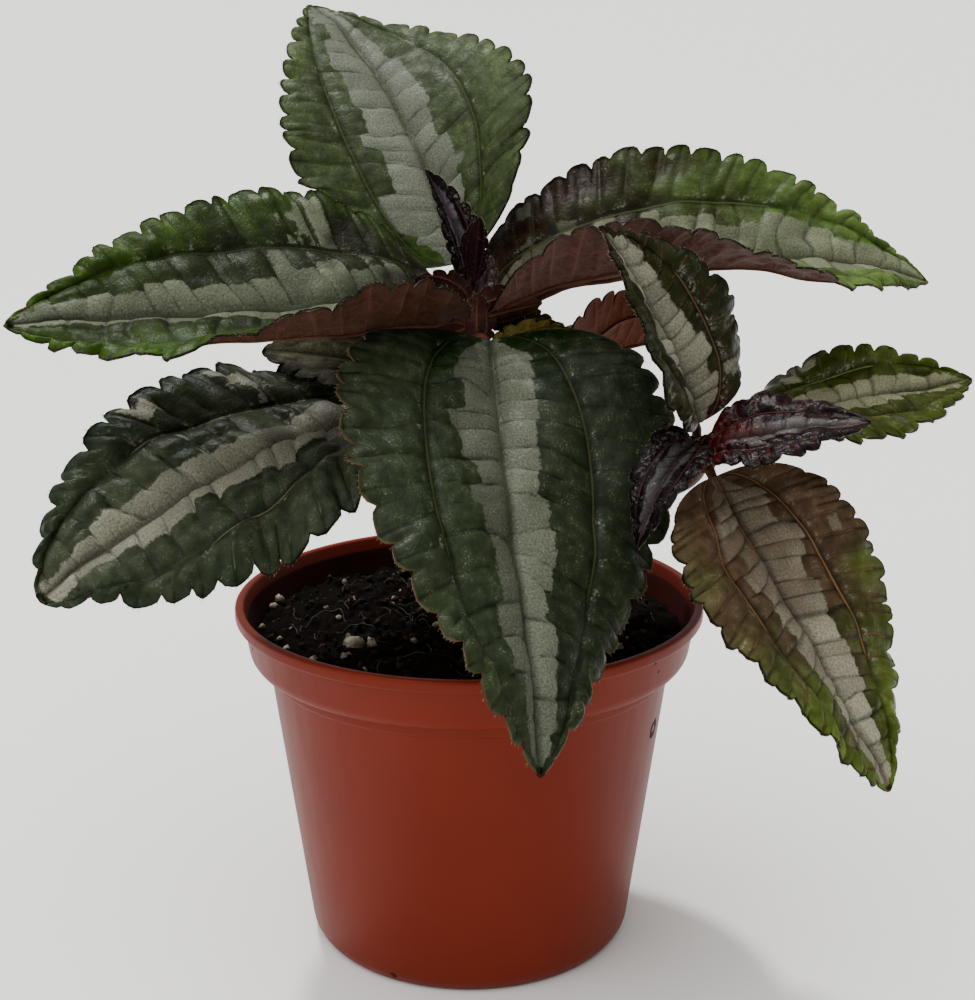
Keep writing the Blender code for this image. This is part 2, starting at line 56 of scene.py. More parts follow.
# %% [markdown]
# ## Camera
#
# The pot's rim and base are circles, so their ellipses in the photograph give the camera: it
# stands 33 cm in front of the pot, a little above the plant, and looks down by 16 degrees. A lens
# is a focal length for a sensor width; 65 mm on 36 mm gives the same perspective.

# %% Camera
EYE = (3.5, -331.5, 182.3)     # mm
LOOK_DOWN = 16.0               # degrees
LENS = 65.2                    # mm of focal length
SENSOR = 36.0                  # mm
NEAREST = 0.01                 # metres from which on the camera sees

lens = bpy.data.cameras.new("photo_camera")
lens.lens = LENS
lens.sensor_width = SENSOR
lens.clip_start = NEAREST
camera = bpy.data.objects.new("photo_camera", lens)
bpy.context.scene.collection.objects.link(camera)
camera.location = [value * MM for value in EYE]
camera.rotation_euler = (math.radians(90 - LOOK_DOWN), 0, 0)
bpy.context.scene.camera = camera
print("angle of view:", round(2 * math.degrees(math.atan(SENSOR / 2 / LENS)), 1), "degrees")

# %% [markdown]
# ## Colours and nodes
#
# Colours are written as sRGB hex, as a paint chart gives them, and one function turns them to the
# linear values that light is reckoned in. A material is a tree of shader nodes, and one function
# adds a node with its settings and links. Roughness, index of refraction and the share of
# mirrored light that are the same all over a finish are set on its shader itself.


# %% Colour and node helpers
def linear(hex_colour):
    """Scene-linear RGBA of an sRGB hex colour, by the standard sRGB curve."""
    channels = np.array([int(hex_colour[i:i + 2], 16) for i in (0, 2, 4)]) / 255
    low = channels / 12.92
    high = ((channels + 0.055) / 1.055) ** 2.4
    return (*np.where(channels <= 0.04045, low, high).tolist(), 1.0)


def node(tree, kind, inputs=None, **settings):
    """Add a node: settings are its properties, inputs its sockets' values or links."""
    made = tree.nodes.new("ShaderNode" + kind)
    for key, value in settings.items():
        setattr(made, key, value)
    for socket, value in (inputs or {}).items():
        if isinstance(value, bpy.types.NodeSocket):
            tree.links.new(value, made.inputs[socket])
        else:
            made.inputs[socket].default_value = value
    return made


def new_material(name, roughness, ior, specular=0.5):
    """A plain Principled material: the material, its tree and its shader."""
    material = bpy.data.materials.new(name)
    material.use_nodes = True
    shader = material.node_tree.nodes["Principled BSDF"]
    shader.inputs["Roughness"].default_value = roughness
    shader.inputs["IOR"].default_value = ior
    shader.inputs["Specular IOR Level"].default_value = specular
    return material, material.node_tree, shader


print("brick red in linear light:", [round(value, 3) for value in linear("6c1f0a")[:3]])

# %% [markdown]
# ## Light and floor
#
# Soft light from overhead keeps the colours of leaves, and a small lamp above and behind them adds
# glints. Area lamps would light a wide floor unevenly, so a sun lamp with a very wide angle is
# the soft source, and a second, narrow and weak one gives the glints. A white world fills the
# shadows, and the floor is one big square of matt white board, so that nothing competes with the
# plant.

# %% Light
# power of each sun lamp, then its angle and its turns in degrees
LAMPS = {"soft_ceiling": (3.4, 85.0, (14.0, -14.0, 0.0)), "small_lamp": (2.2, 5.0, (-25.0, -12.0, 0.0))}
WORLD_STRENGTH = 0.55

world = bpy.data.worlds.new("soft_white_world")
world.use_nodes = True
bpy.context.scene.world = world
sky = world.node_tree.nodes["Background"]
sky.inputs["Color"].default_value = linear("f8f7f4")
sky.inputs["Strength"].default_value = WORLD_STRENGTH

for name, (power, angle, turns) in LAMPS.items():
    lamp = bpy.data.lights.new(name, "SUN")
    lamp.energy = power
    lamp.angle = math.radians(angle)
    shining = bpy.data.objects.new(name, lamp)
    shining.rotation_euler = [math.radians(value) for value in turns]
    bpy.context.scene.collection.objects.link(shining)
print("lamps:", ", ".join(LAMPS))

# %% Floor
FLOOR_HALF = 40.0              # metres, so that its edge lies under the horizon

# Paint that dries matt scatters nearly all light, which the eye takes for a plain white ground
floor_paint, tree, shader = new_material("matt_white_painted_board", 0.6, 1.45)
shader.inputs["Base Color"].default_value = linear("f2f1ef")
mesh = bpy.data.meshes.new("floor")
square = [(-FLOOR_HALF, -FLOOR_HALF, 0), (FLOOR_HALF, -FLOOR_HALF, 0), (FLOOR_HALF, FLOOR_HALF, 0),
          (-FLOOR_HALF, FLOOR_HALF, 0)]
mesh.from_pydata(square, [], [(0, 1, 2, 3)])
mesh.materials.append(floor_paint)
floor = bpy.data.objects.new("floor", mesh)
bpy.context.scene.collection.objects.link(floor)
print("floor:", 2 * FLOOR_HALF, "m square")

# %% [markdown]
# ## Meshes from arrays
#
# A piece could be pushed into shape by modifiers, but a plant's surfaces are easier to say as
# formulas. So each piece is a grid of points that numpy works out as a whole array. One function
# puts points, faces and the numbers that shaders read into a mesh, and one numbers a grid's quads.


# %% Mesh helpers
def make_piece(name, points, faces, materials, face_material=None, fields=None, chart=None):
    """A smooth-shaded piece from points in mm and lists of corners.

    fields are numbers kept at its points for the shaders, and chart is a flat pair of
    coordinates at each point, kept as its UV map.
    """
    mesh = bpy.data.meshes.new(name)
    mesh.from_pydata((np.asarray(points, dtype=float) * MM).tolist(), [], faces)
    for material in materials:
        mesh.materials.append(material)
    if face_material is not None:
        mesh.polygons.foreach_set("material_index", np.asarray(face_material, dtype=np.int32))
    for key, values in (fields or {}).items():
        field = mesh.attributes.new(key, "FLOAT", "POINT")
        field.data.foreach_set("value", np.asarray(values, dtype=np.float32))
    if chart is not None:
        corner = np.empty(len(mesh.loops), dtype=np.int32)
        mesh.loops.foreach_get("vertex_index", corner)
        layer = mesh.uv_layers.new(name="chart")
        layer.data.foreach_set("uv", np.asarray(chart, dtype=np.float32)[corner].ravel())
    mesh.shade_smooth()
    mesh.update()
    made = bpy.data.objects.new(name, mesh)
    bpy.context.scene.collection.objects.link(made)
    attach(made, "root")
    return made


def grid_faces(rows, columns, wrap=False):
    """Quads of a grid of points that is numbered row by row; wrap joins the last column on."""
    index = np.arange(rows * columns).reshape(rows, columns)
    right = np.roll(index, -1, axis=1) if wrap else index[:, 1:]
    left = index if wrap else index[:, :-1]
    quads = np.stack([left[:-1], right[:-1], right[1:], left[1:]], axis=-1)
    return quads.reshape(-1, 4)


print("quads of 3 x 4 points:", len(grid_faces(3, 4)), "and closed round:", len(grid_faces(3, 4, True)))

# %% [markdown]
# ## The pot
#
# A thin-walled nursery pot is a turned shape. A curve with a Screw modifier would give it, and so
# does a profile carried round the axis, which keeps the number of each row: the painted shade on
# the inside needs that. The profile has the lip, the collar that stacks on the next pot, the thin
# band under it and the tapering body. A moulded part has no sharp corners, so each is an arc.

# %% Pot profile
POT_HEIGHT = 68.0
RIM_RADIUS = 45.0
BASE_RADIUS = 31.4
BODY_TOP_RADIUS = 38.6
COLLAR_RADIUS = 43.5
COLLAR_FOOT = 57.6
BAND_FOOT = 55.2
LIP_FOOT = 65.4
WALL = 1.1
PLATE_RADIUS = 28.4            # of the flat base inside the rounded foot
ARC_POINTS = 5
ARC_LIMIT = 0.45               # share of a straight stretch that one arc may use up

# Up the outside, over the rim and down the inside: radius, height and size of the arc there
POT_CORNERS = [
    (PLATE_RADIUS, 0, 0), (BASE_RADIUS - 1.6, 0, 1.6), (BASE_RADIUS + 0.1, 2.0, 1.6),
    (BODY_TOP_RADIUS, BAND_FOOT - 0.3, 0.25), (BODY_TOP_RADIUS + 0.6, BAND_FOOT, 0.25),
    (BODY_TOP_RADIUS + 0.8, COLLAR_FOOT - 0.3, 0.3), (COLLAR_RADIUS - 2.0, COLLAR_FOOT, 0.9),
    (COLLAR_RADIUS - 1.1, COLLAR_FOOT + 1.3, 1.0), (COLLAR_RADIUS, LIP_FOOT, 0.35),
    (RIM_RADIUS, LIP_FOOT + 0.4, 0.35), (RIM_RADIUS, POT_HEIGHT, 0.7),
    (COLLAR_RADIUS - 0.1, POT_HEIGHT, 0.5), (COLLAR_RADIUS - 1.1, LIP_FOOT - 0.4, 1.0),
    (COLLAR_RADIUS - 2.3, COLLAR_FOOT + 2.4, 1.2), (BODY_TOP_RADIUS - 0.8, COLLAR_FOOT + 0.6, 1.0),
    (BODY_TOP_RADIUS - WALL, BAND_FOOT - 0.8, 0.6), (BASE_RADIUS - WALL, 2.4, 1.0),
    (BASE_RADIUS - WALL - 1.4, WALL, 0.8), (PLATE_RADIUS, WALL, 0),
]


def rounded(corners):
    """A line of (radius, height) whose corners are replaced by quadratic arcs.

    An arc starts its own size before the corner and stops as far after it, and runs between them
    as (1 - t)^2 start + 2 t (1 - t) corner + t^2 stop.
    """
    line = [np.array(corners[0][:2])]
    t = np.linspace(0, 1, ARC_POINTS)[:, None]
    for before, (radius, height, size), after in zip(corners, corners[1:], corners[2:]):
        corner = np.array([radius, height], dtype=float)
        back, on = np.array(before[:2]) - corner, np.array(after[:2]) - corner
        start = corner + back / np.linalg.norm(back) * min(size, np.linalg.norm(back) * ARC_LIMIT)
        stop = corner + on / np.linalg.norm(on) * min(size, np.linalg.norm(on) * ARC_LIMIT)
        line.extend((1 - t) ** 2 * start + 2 * t * (1 - t) * corner + t ** 2 * stop)
    line.append(np.array(corners[-1][:2]))
    return np.array(line)


profile = rounded(POT_CORNERS)
print("pot profile:", len(profile), "points, up to", profile.max(axis=0), "mm")

# %% [markdown]
# Water leaves the pot through holes in its base. A Boolean modifier could cut them, but it leaves
# long thin faces. So the base is made of six sectors, and in each one a grid runs from the rim of
# its hole out to the sector's border, and every edge stays clean.

# %% Base with drain holes
TURN_STEPS = 180
DRAIN_HOLES = 6
DRAIN_RADIUS = 3.0
DRAIN_CIRCLE = 21.0
SIDE_POINTS = 13               # along each straight side of a sector
PLATE_ROWS = np.array([0, 0.05, 1])


def holed_plate(centre_turn):
    """One sixth of the base as a grid from its drain hole's rim out to the sector's outline.

    The outline runs from the axis along one side, round the arc and back; a point of the grid is
    rim + s (outline - rim), with the rim's point in the same direction from the hole's centre.
    """
    half_turn = math.pi / DRAIN_HOLES
    arc = centre_turn + np.linspace(-half_turn, half_turn, TURN_STEPS // DRAIN_HOLES + 1)
    out = np.linspace(0, 1, SIDE_POINTS)[:-1, None] * PLATE_RADIUS
    low = out * (math.cos(arc[0]), math.sin(arc[0]))
    high = out[:0:-1] * (math.cos(arc[-1]), math.sin(arc[-1]))
    border = np.vstack([low, PLATE_RADIUS * np.column_stack([np.cos(arc), np.sin(arc)]), high])
    centre = DRAIN_CIRCLE * np.array([math.cos(centre_turn), math.sin(centre_turn)])
    away = border - centre
    rim = centre + DRAIN_RADIUS * away / np.linalg.norm(away, axis=1)[:, None]
    return rim + PLATE_ROWS[:, None, None] * (border - rim)


# For each part its points, its faces, and 1 at the points inside the pot, which get painted shade
base_parts = []
for centre_turn in np.arange(DRAIN_HOLES) * 2 * math.pi / DRAIN_HOLES:
    flat = holed_plate(centre_turn)
    rows, columns = flat.shape[:2]
    plate = grid_faces(rows, columns, wrap=True)
    for level, faces in ((0, plate), (WALL, plate[:, ::-1])):
        points = np.dstack([flat, np.full((rows, columns), level)]).reshape(-1, 3)
        base_parts.append((points, faces, np.full(len(points), float(level > 0))))
    well = np.vstack([np.column_stack([flat[0], np.full(columns, level)]) for level in (0, WALL)])
    base_parts.append((well, grid_faces(2, columns, wrap=True)[:, ::-1], np.ones(len(well))))
print("base parts:", len(base_parts))

# %% Pot shell
LIP_ROWS = 6                   # rows of the profile that lie on top of the lip

turn = np.arange(TURN_STEPS) * 2 * math.pi / TURN_STEPS
ring = np.stack([np.cos(turn), np.sin(turn)], axis=-1)
shell = np.empty((len(profile), TURN_STEPS, 3))
shell[..., :2] = profile[:, None, :1] * ring
shell[..., 2] = profile[:, None, 1]
inner = np.arange(len(profile)) > np.argmax(profile[:, 1]) + LIP_ROWS
parts = [(shell.reshape(-1, 3), grid_faces(len(profile), TURN_STEPS, wrap=True),
          np.repeat(inner.astype(float), TURN_STEPS))] + base_parts
starts = np.cumsum([0] + [len(points) for points, faces, inside in parts])
loose = np.vstack([points for points, faces, inside in parts])
pot_faces = np.vstack([faces + start for (points, faces, inside), start in zip(parts, starts)])
# Points that lie together at the seams become one
_, first, place_of = np.unique(np.round(loose, 4), axis=0, return_index=True, return_inverse=True)
pot_points, pot_faces = loose[first], place_of.ravel()[pot_faces]
pot_inner_shade = np.concatenate([inside for points, faces, inside in parts])[first]
print("pot points:", len(pot_points), "faces:", len(pot_faces))

# %% [markdown]
# Many finishes are one colour that drifts into another. Noise through a colour ramp draws that,
# and this plant needs it seven times, so it is a pattern of its own. The size of its grains is
# given in millimetres, and the noise's scale follows from it.


# %% A finish of two colours
def grain(size, unit=1 / MM):
    """Scale of a pattern with grains size mm wide, where unit mm are 1 in its coordinates."""
    return unit / size


def two_tones(tree, place, size, colours, limits, **settings):
    """Noise with grains size mm wide, run from one colour at its low limit to one at its high.

    The sockets of the colour and of the noise itself.
    """
    noise = node(tree, "TexNoise", {"Vector": place, "Scale": grain(size), **settings}).outputs["Fac"]
    tone = node(tree, "ValToRGB", {"Fac": noise})
    for stop, limit, colour in zip(tone.color_ramp.elements, limits, colours):
        stop.position = limit
        stop.color = linear(colour)
    return tone.outputs[0], noise


print("a grain of 2.5 mm is scale", grain(2.5))

# %% [markdown]
# The pot is injection moulded from polypropylene that is coloured right through in terracotta. To
# the eye that is a soft broad sheen over faint vertical flow lines from the mould, with tiny
# scratches and a little dust. Polypropylene has an index of refraction of 1.49, and a satin mould
# leaves a roughness near 0.4. The inside is darkened as painted shade, and a few specks and a
# ring-shaped smear of peat have dried on the outside: each is a distance to a point, which is made
# uneven by noise, so no image has to be painted.

# %% Plastic with flow lines and dust
pot_plastic, tree, shader = new_material("moulded_terracotta_polypropylene", 0.42, 1.49, 0.13)
place = node(tree, "TexCoord").outputs["Object"]
tone, cloudy = two_tones(tree, place, 29.41, ("641b07", "6c1f0a"), (0.3, 0.72), Detail=3.0)
streak_room = node(tree, "Mapping", {"Vector": place, "Scale": (1.0, 1.0, 0.06)})
streaks = node(tree, "TexNoise", {"Vector": streak_room.outputs[0], "Scale": grain(2.381),
                                  "Detail": 2.0})
dust = node(tree, "TexNoise", {"Vector": place, "Scale": grain(1.111), "Detail": 4.0,
                               "Roughness": 0.7})
dust_mask = node(tree, "MapRange", {"Value": dust.outputs["Fac"], "From Min": 0.68, "From Max": 0.8,
                                    "To Max": 0.22})
dusty = node(tree, "Mix", {"Factor": dust_mask.outputs[0], "A": tone, "B": linear("7c4638")},
             data_type="RGBA")
flow = node(tree, "Bump", {"Height": streaks.outputs["Fac"], "Strength": 0.05, "Distance": 0.0002})
tree.links.new(flow.outputs[0], shader.inputs["Normal"])
print("plastic nodes:", len(tree.nodes))

# %% Dried peat on the plastic, and painted shade inside
# Each mark in mm: centre on the wall, radius of its ring (0 for a speck), half its thickness
MARKS = [(35.0, -13.6, 46.0, 1.4, 0.5), (-40.2, -15.5, 62.7, 0, 0.25), (33.9, -27.2, 64.4, 0, 0.25),
         (34.5, -25.8, 62.2, 0, 0.2), (38.4, -17.9, 57.2, 0, 0.3), (-14.4, -28.7, 1.5, 0, 1.0),
         (-8.5, 37.2, 40.0, 0, 0.4), (-33.0, 12.5, 22.0, 1.0, 0.3), (20.0, 24.5, 3.0, 0, 0.9)]
MARK_FADE = 0.25               # mm
WARP = 1.6                     # mm that noise moves a mark's outline

warp = node(tree, "TexNoise", {"Vector": place, "Scale": grain(1.4286), "Detail": 3.0})
warp = node(tree, "VectorMath", {0: warp.outputs["Color"], 1: (0.5, 0.5, 0.5)}, operation="SUBTRACT")
warp = node(tree, "VectorMath", {0: warp.outputs[0], "Scale": WARP * MM}, operation="SCALE")
warped = node(tree, "VectorMath", {0: place, 1: warp.outputs[0]}, operation="ADD").outputs[0]
# Painted shade inside the pot: the inner wall and floor are darkened towards the peat's colour, more in
# some places than in others
inner_shade = node(tree, "Attribute", attribute_name="inside").outputs["Fac"]
inside_shade = node(tree, "MapRange", {"Value": cloudy, "From Min": 0.35, "From Max": 0.65, "To Min": 0.7,
                                "To Max": 0.95})
dirt_and_inside_shade = node(tree, "Math", {0: inside_shade.outputs[0], 1: inner_shade}, operation="MULTIPLY")
for x, y, z, ring_radius, thick in MARKS:
    away = node(tree, "VectorMath", {0: warped, 1: (x * MM, y * MM, z * MM)}, operation="DISTANCE")
    away = node(tree, "Math", {0: away.outputs["Value"], 1: ring_radius * MM}, operation="SUBTRACT")
    away = node(tree, "Math", {0: away.outputs[0]}, operation="ABSOLUTE")
    mark = node(tree, "MapRange", {"Value": away.outputs[0], "From Min": thick * MM,
                                   "From Max": (thick + MARK_FADE) * MM, "To Min": 0.85, "To Max": 0.0})
    dirt_and_inside_shade = node(tree, "Math", {0: mark.outputs[0], 1: dirt_and_inside_shade.outputs[0]}, operation="MAXIMUM")
# The dried peat marks and the painted shade inside both darken the plastic
soiled_and_shaded = node(tree, "Mix", {"Factor": dirt_and_inside_shade.outputs[0], "A": dusty.outputs["Result"],
                            "B": linear("140906")}, data_type="RGBA")
tree.links.new(soiled_and_shaded.outputs["Result"], shader.inputs["Base Color"])
gloss = node(tree, "MapRange", {"Value": streaks.outputs["Fac"], "To Min": 0.36, "To Max": 0.52})
gloss = node(tree, "Math", {0: gloss.outputs[0], 1: dirt_and_inside_shade.outputs[0]}, operation="MAXIMUM")
tree.links.new(gloss.outputs[0], shader.inputs["Roughness"])

pot = make_piece("nursery_pot", pot_points, pot_faces.tolist(), [pot_plastic],
                 fields={"inside": pot_inner_shade})
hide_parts("pot")
print("marks on the pot:", len(MARKS))

# %% [markdown]
# ## The soil
#
# The soil is moist peat: near black, lumpy and open. A flat disc with bump would look like card
# in low light, so the surface is a polar grid whose height is noise at three sizes. The grid goes
# on down the pot's inside and across its floor, so that the piece is closed. The noise is made
# from random numbers on a grid of whole numbers, which come out the same in every run.


# %% Noise helpers
def lattice_random(ix, iy, seed):
    """A random number from 0 to 1 for each pair of whole numbers, the same in every run."""
    mixed = (ix.astype(np.int64) * 374761393 + iy.astype(np.int64) * 668265263
             + seed * 1274126177) & 0xFFFFFFFF
    mixed = ((mixed ^ (mixed >> 13)) * 1103515245) & 0xFFFFFFFF
    return ((mixed ^ (mixed >> 16)) & 0xFFFFFF) / 0xFFFFFF


def value_noise(x, y, seed):
    """Smooth noise from 0 to 1: random numbers on a unit grid, eased between its corners."""
    ix, iy = np.floor(x), np.floor(y)
    fx, fy = x - ix, y - iy
    ux, uy = fx * fx * (3 - 2 * fx), fy * fy * (3 - 2 * fy)
    corner = [lattice_random(ix + dx, iy + dy, seed) for dy in (0, 1) for dx in (0, 1)]
    lower = corner[0] + (corner[1] - corner[0]) * ux
    upper = corner[2] + (corner[3] - corner[2]) * ux
    return lower + (upper - lower) * uy


def smooth_step(low, high, value):
    """0 below low, 1 above high, and 3 t^2 - 2 t^3 between them."""
    t = np.clip((value - low) / (high - low), 0, 1)
    return t * t * (3 - 2 * t)


print("noise at (0.5, 0.5):", round(float(value_noise(np.array([0.5]), np.array([0.5]), 1)[0]), 3))

# %% Soil surface
SOIL_TOP = 62.0
SOIL_MOUND = 1.6
TOP_ROWS = 100                 # of the grid that lie on the surface, the rest goes down and under
SOIL_TURNS = 280
SOIL_EDGE = COLLAR_RADIUS - 2.2
EDGE_DROP = 1.2                # mm that the soil sinks where it meets the wall


def soil_height(x, y):
    """Height of the soil: a low mound, crossed waves for clods and finer crumbs of noise."""
    radius = np.hypot(x, y) / RIM_RADIUS
    waves = (np.sin(0.42 * x + 1.1) * np.sin(0.47 * y + 0.3)
             + 0.7 * np.sin(0.83 * x - 0.51 * y + 2.0) + 0.5 * np.sin(0.37 * x + 1.13 * y))
    crumbs = (1.3 * value_noise(x * 0.45, y * 0.45, 3) + 1.5 * value_noise(x * 0.95, y * 0.95, 4)
              + 0.8 * value_noise(x * 2.1, y * 2.1, 5) - 1.8)
    return SOIL_TOP + SOIL_MOUND * (0.5 - radius ** 2) + 0.4 * waves + crumbs * 0.9


# Radius and height of the rows down the wall and across the floor, just clear of the pot
UNDER_ROWS = np.array([(SOIL_EDGE, COLLAR_FOOT + 3.4), (BODY_TOP_RADIUS - WALL - 0.5, BAND_FOOT - 1.2),
                       (BASE_RADIUS - WALL - 0.6, 3.0), (BASE_RADIUS - WALL - 2.2, WALL + 0.3),
                       (0.4, WALL + 0.3)])
soil_radius = np.concatenate([np.linspace(0.4, SOIL_EDGE - 0.4, TOP_ROWS), [SOIL_EDGE], UNDER_ROWS[:, 0]])
angle = np.arange(SOIL_TURNS) * 2 * math.pi / SOIL_TURNS
x = soil_radius[:, None] * np.cos(angle)
y = soil_radius[:, None] * np.sin(angle)
z = soil_height(x, y)
z[TOP_ROWS] -= EDGE_DROP
z[TOP_ROWS + 1:] = UNDER_ROWS[:, 1:]
rows, columns = z.shape
faces = grid_faces(rows, columns, wrap=True)[:, ::-1]
caps = [list(range(columns)), list(range((rows - 1) * columns, rows * columns))[::-1]]
print("soil heights:", round(z[:TOP_ROWS].min(), 1), "to", round(z[:TOP_ROWS].max(), 1))

# %% [markdown]
# Peat is half-rotted moss, dried and wetted again. Its fibres swallow light, so it is almost
# black and has no sheen, with a green tinge where algae have begun. Its crumbs are about 3 mm wide.

# %% Peat
peat, tree, shader = new_material("moist_peat", 0.85, 1.4, 0.06)
place = node(tree, "TexCoord").outputs["Object"]
tone, grit = two_tones(tree, place, 3.03, ("050403", "1a120b"), (0.36, 0.74), Detail=6.0,
                       Roughness=0.7)
lump = node(tree, "TexNoise", {"Vector": place, "Scale": grain(11.11), "Detail": 3.0})
moss = node(tree, "MapRange", {"Value": lump.outputs["Fac"], "From Min": 0.52, "From Max": 0.72,
                               "To Max": 0.5})
mossy = node(tree, "Mix", {"Factor": moss.outputs[0], "A": tone, "B": linear("1c1c10")},
             data_type="RGBA")
tree.links.new(mossy.outputs["Result"], shader.inputs["Base Color"])
bumps = node(tree, "Bump", {"Height": grit, "Strength": 0.9, "Distance": 0.0009})
tree.links.new(bumps.outputs[0], shader.inputs["Normal"])

soil = make_piece("peat_soil", np.stack([x, y, z], axis=-1).reshape(-1, 3), faces.tolist() + caps,
                  [peat])
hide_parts("soil")
print("soil faces:", len(soil.data.polygons))

# %% [markdown]
# What lies in the peat is small. Perlite is a white volcanic glass that is popped like corn, so a
# grain is a lumpy ball, and bark crumbs are flat shards. A particle system would scatter them, but
# its copies aren't real meshes. So each kind is one piece of many small closed balls, each
# stretched, roughened and turned at random, and half sunk in the soil.


# %% Scattering small shapes
def ball(rings, around):
    """Unit ball as a small grid of rings, with a point at each pole: points and faces."""
    lift = np.linspace(-math.pi / 2, math.pi / 2, rings + 2)[1:-1]
    spin = np.arange(around) * 2 * math.pi / around
    points = np.stack([np.outer(np.cos(lift), np.cos(spin)), np.outer(np.cos(lift), np.sin(spin)),
                       np.outer(np.sin(lift), np.ones(around))], axis=-1).reshape(-1, 3)
    points = np.vstack([points, [[0, 0, -1], [0, 0, 1]]])
    south, north = rings * around, rings * around + 1
    faces = grid_faces(rings, around, wrap=True).tolist()
    for k in range(around):
        ahead = (k + 1) % around
        faces.append([south, ahead, k])
        faces.append([north, (rings - 1) * around + k, (rings - 1) * around + ahead])
    return points, faces


def random_turns(draw, count):
    """Rotation matrices with random axes, from random unit quaternions."""
    quaternion = draw.normal(size=(count, 4))
    w, x, y, z = (quaternion / np.linalg.norm(quaternion, axis=1)[:, None]).T
    return np.stack([np.stack([1 - 2 * (y * y + z * z), 2 * (x * y - z * w), 2 * (x * z + y * w)], -1),
                     np.stack([2 * (x * y + z * w), 1 - 2 * (x * x + z * z), 2 * (y * z - x * w)], -1),
                     np.stack([2 * (x * z - y * w), 2 * (y * z + x * w), 1 - 2 * (x * x + y * y)], -1)],
                    axis=1)


def scattered(places, sizes, draw, roughness, rings, around):
    """Balls stretched by sizes, roughened, turned at random and put at the places, in mm."""
    unit, faces = ball(rings, around)
    count = len(places)
    lumps = 1 + roughness * (draw.random((count, len(unit), 1)) - 0.5)
    shapes = unit[None] * lumps * sizes[:, None, :]
    shapes = np.einsum("nij,nkj->nki", random_turns(draw, count), shapes) + places[:, None, :]
    corners = [[index + k * len(unit) for index in face] for k in range(count) for face in faces]
    return shapes.reshape(-1, 3), corners


print("a ball of 3 rings with 5 points each has", len(ball(3, 5)[1]), "faces")

# %% [markdown]
# Perlite is foamed glass: chalky white, full of pits, and stained by the peat it lies in. The
# pits are finer than they can be drawn, so they are 1.4 mm wide here.

# %% Perlite grains
SOIL_SEED = 7
# Place and size in mm of the grains at the front left that catch the eye
SHOWN_GRAINS = [(-38.3, 12.7, 1.1), (-39.3, 10.8, 0.9), (-40.0, -2.0, 0.9), (-34.2, -13.9, 1.0),
                (-21.5, -12.6, 2.2), (-18.1, -13.5, 1.1), (-23.0, -18.1, 1.0), (-25.7, 3.2, 0.9),
                (-26.5, -3.1, 0.8), (-28.6, -19.1, 1.1), (28.0, -14.0, 0.9)]
OTHER_GRAINS = 46

draw = np.random.default_rng(SOIL_SEED)
reach = SOIL_EDGE * np.sqrt(draw.uniform(0.02, 0.9, OTHER_GRAINS))
spin = draw.uniform(0, 2 * math.pi, OTHER_GRAINS)
grains = np.array(SHOWN_GRAINS)
grain_x = np.concatenate([grains[:, 0], reach * np.cos(spin)])
grain_y = np.concatenate([grains[:, 1], reach * np.sin(spin)])
grain_size = np.concatenate([grains[:, 2], draw.uniform(0.4, 1.0, OTHER_GRAINS)])
places = np.stack([grain_x, grain_y, soil_height(grain_x, grain_y) + 0.25 * grain_size], axis=-1)
sizes = grain_size[:, None] * draw.uniform(0.6, 1.0, (len(grain_size), 3))
points, corners = scattered(places, sizes, draw, 0.45, 6, 9)
popped_glass, tree, shader = new_material("expanded_perlite", 0.8, 1.5)
tone, pits = two_tones(tree, node(tree, "TexCoord").outputs["Object"], 1.4286, ("403628", "a09682"),
                       (0.34, 0.56), Detail=4.0)
tree.links.new(tone, shader.inputs["Base Color"])
pitted = node(tree, "Bump", {"Height": pits, "Strength": 0.7, "Distance": 0.0005})
tree.links.new(pitted.outputs[0], shader.inputs["Normal"])
perlite = make_piece("perlite_grains", points, corners, [popped_glass])
print("perlite grains:", len(grain_size))

# %% [markdown]
# Bark is shredded and composted before it goes into potting soil. The shards are dull and differ
# in colour from one to the next, so the two browns of their finish change over about 4 mm.

# %% Bark crumbs
CRUMBS = 620

reach = (SOIL_EDGE - 0.8) * np.sqrt(draw.uniform(0.0, 1.0, CRUMBS))
spin = draw.uniform(0, 2 * math.pi, CRUMBS)
crumb_x, crumb_y = reach * np.cos(spin), reach * np.sin(spin)
crumb_size = draw.uniform(0.5, 1.5, CRUMBS)
places = np.stack([crumb_x, crumb_y, soil_height(crumb_x, crumb_y) + 0.15 * crumb_size], axis=-1)
sizes = crumb_size[:, None] * draw.uniform((0.5, 0.25, 0.2), (1.1, 0.7, 0.5), (CRUMBS, 3))
points, corners = scattered(places, sizes, draw, 0.7, 3, 5)
bark, tree, shader = new_material("composted_bark", 0.8, 1.45, 0.15)
tone, _ = two_tones(tree, node(tree, "TexCoord").outputs["Object"], 3.846, ("0e0a08", "3a2a1a"),
                    (0.42, 0.7), Detail=2.0)
tree.links.new(tone, shader.inputs["Base Color"])
crumbs = make_piece("bark_crumbs", points, corners, [bark])
print("bark crumbs:", CRUMBS)

# %% [markdown]
# ## Tubes
#
# Stem, leaf stalks, ribs and root threads are all tubes: circles carried along a path. A curve
# with a bevel makes such a tube too, but from arrays many tubes go into one mesh at once. The
# circle is turned from ring to ring as little as it can be, so that the tube doesn't twist.


# %% Tubes along a path
def smooth_route(points, steps):
    """Rows of a Catmull-Rom curve through the given rows, steps to each stretch."""
    row = np.array(points, dtype=float)
    padded = np.vstack([2 * row[0] - row[1], row, 2 * row[-1] - row[-2]])
    t = (np.arange(steps) / steps)[:, None, None]
    p0, p1, p2, p3 = (padded[i:len(padded) - 3 + i] for i in range(4))
    curve = 0.5 * (2 * p1 + (p2 - p0) * t + (2 * p0 - 5 * p1 + 4 * p2 - p3) * t ** 2
                   + (3 * p1 - p0 - 3 * p2 + p3) * t ** 3)
    return np.vstack([curve.transpose(1, 0, 2).reshape(-1, row.shape[1]), row[-1:]])


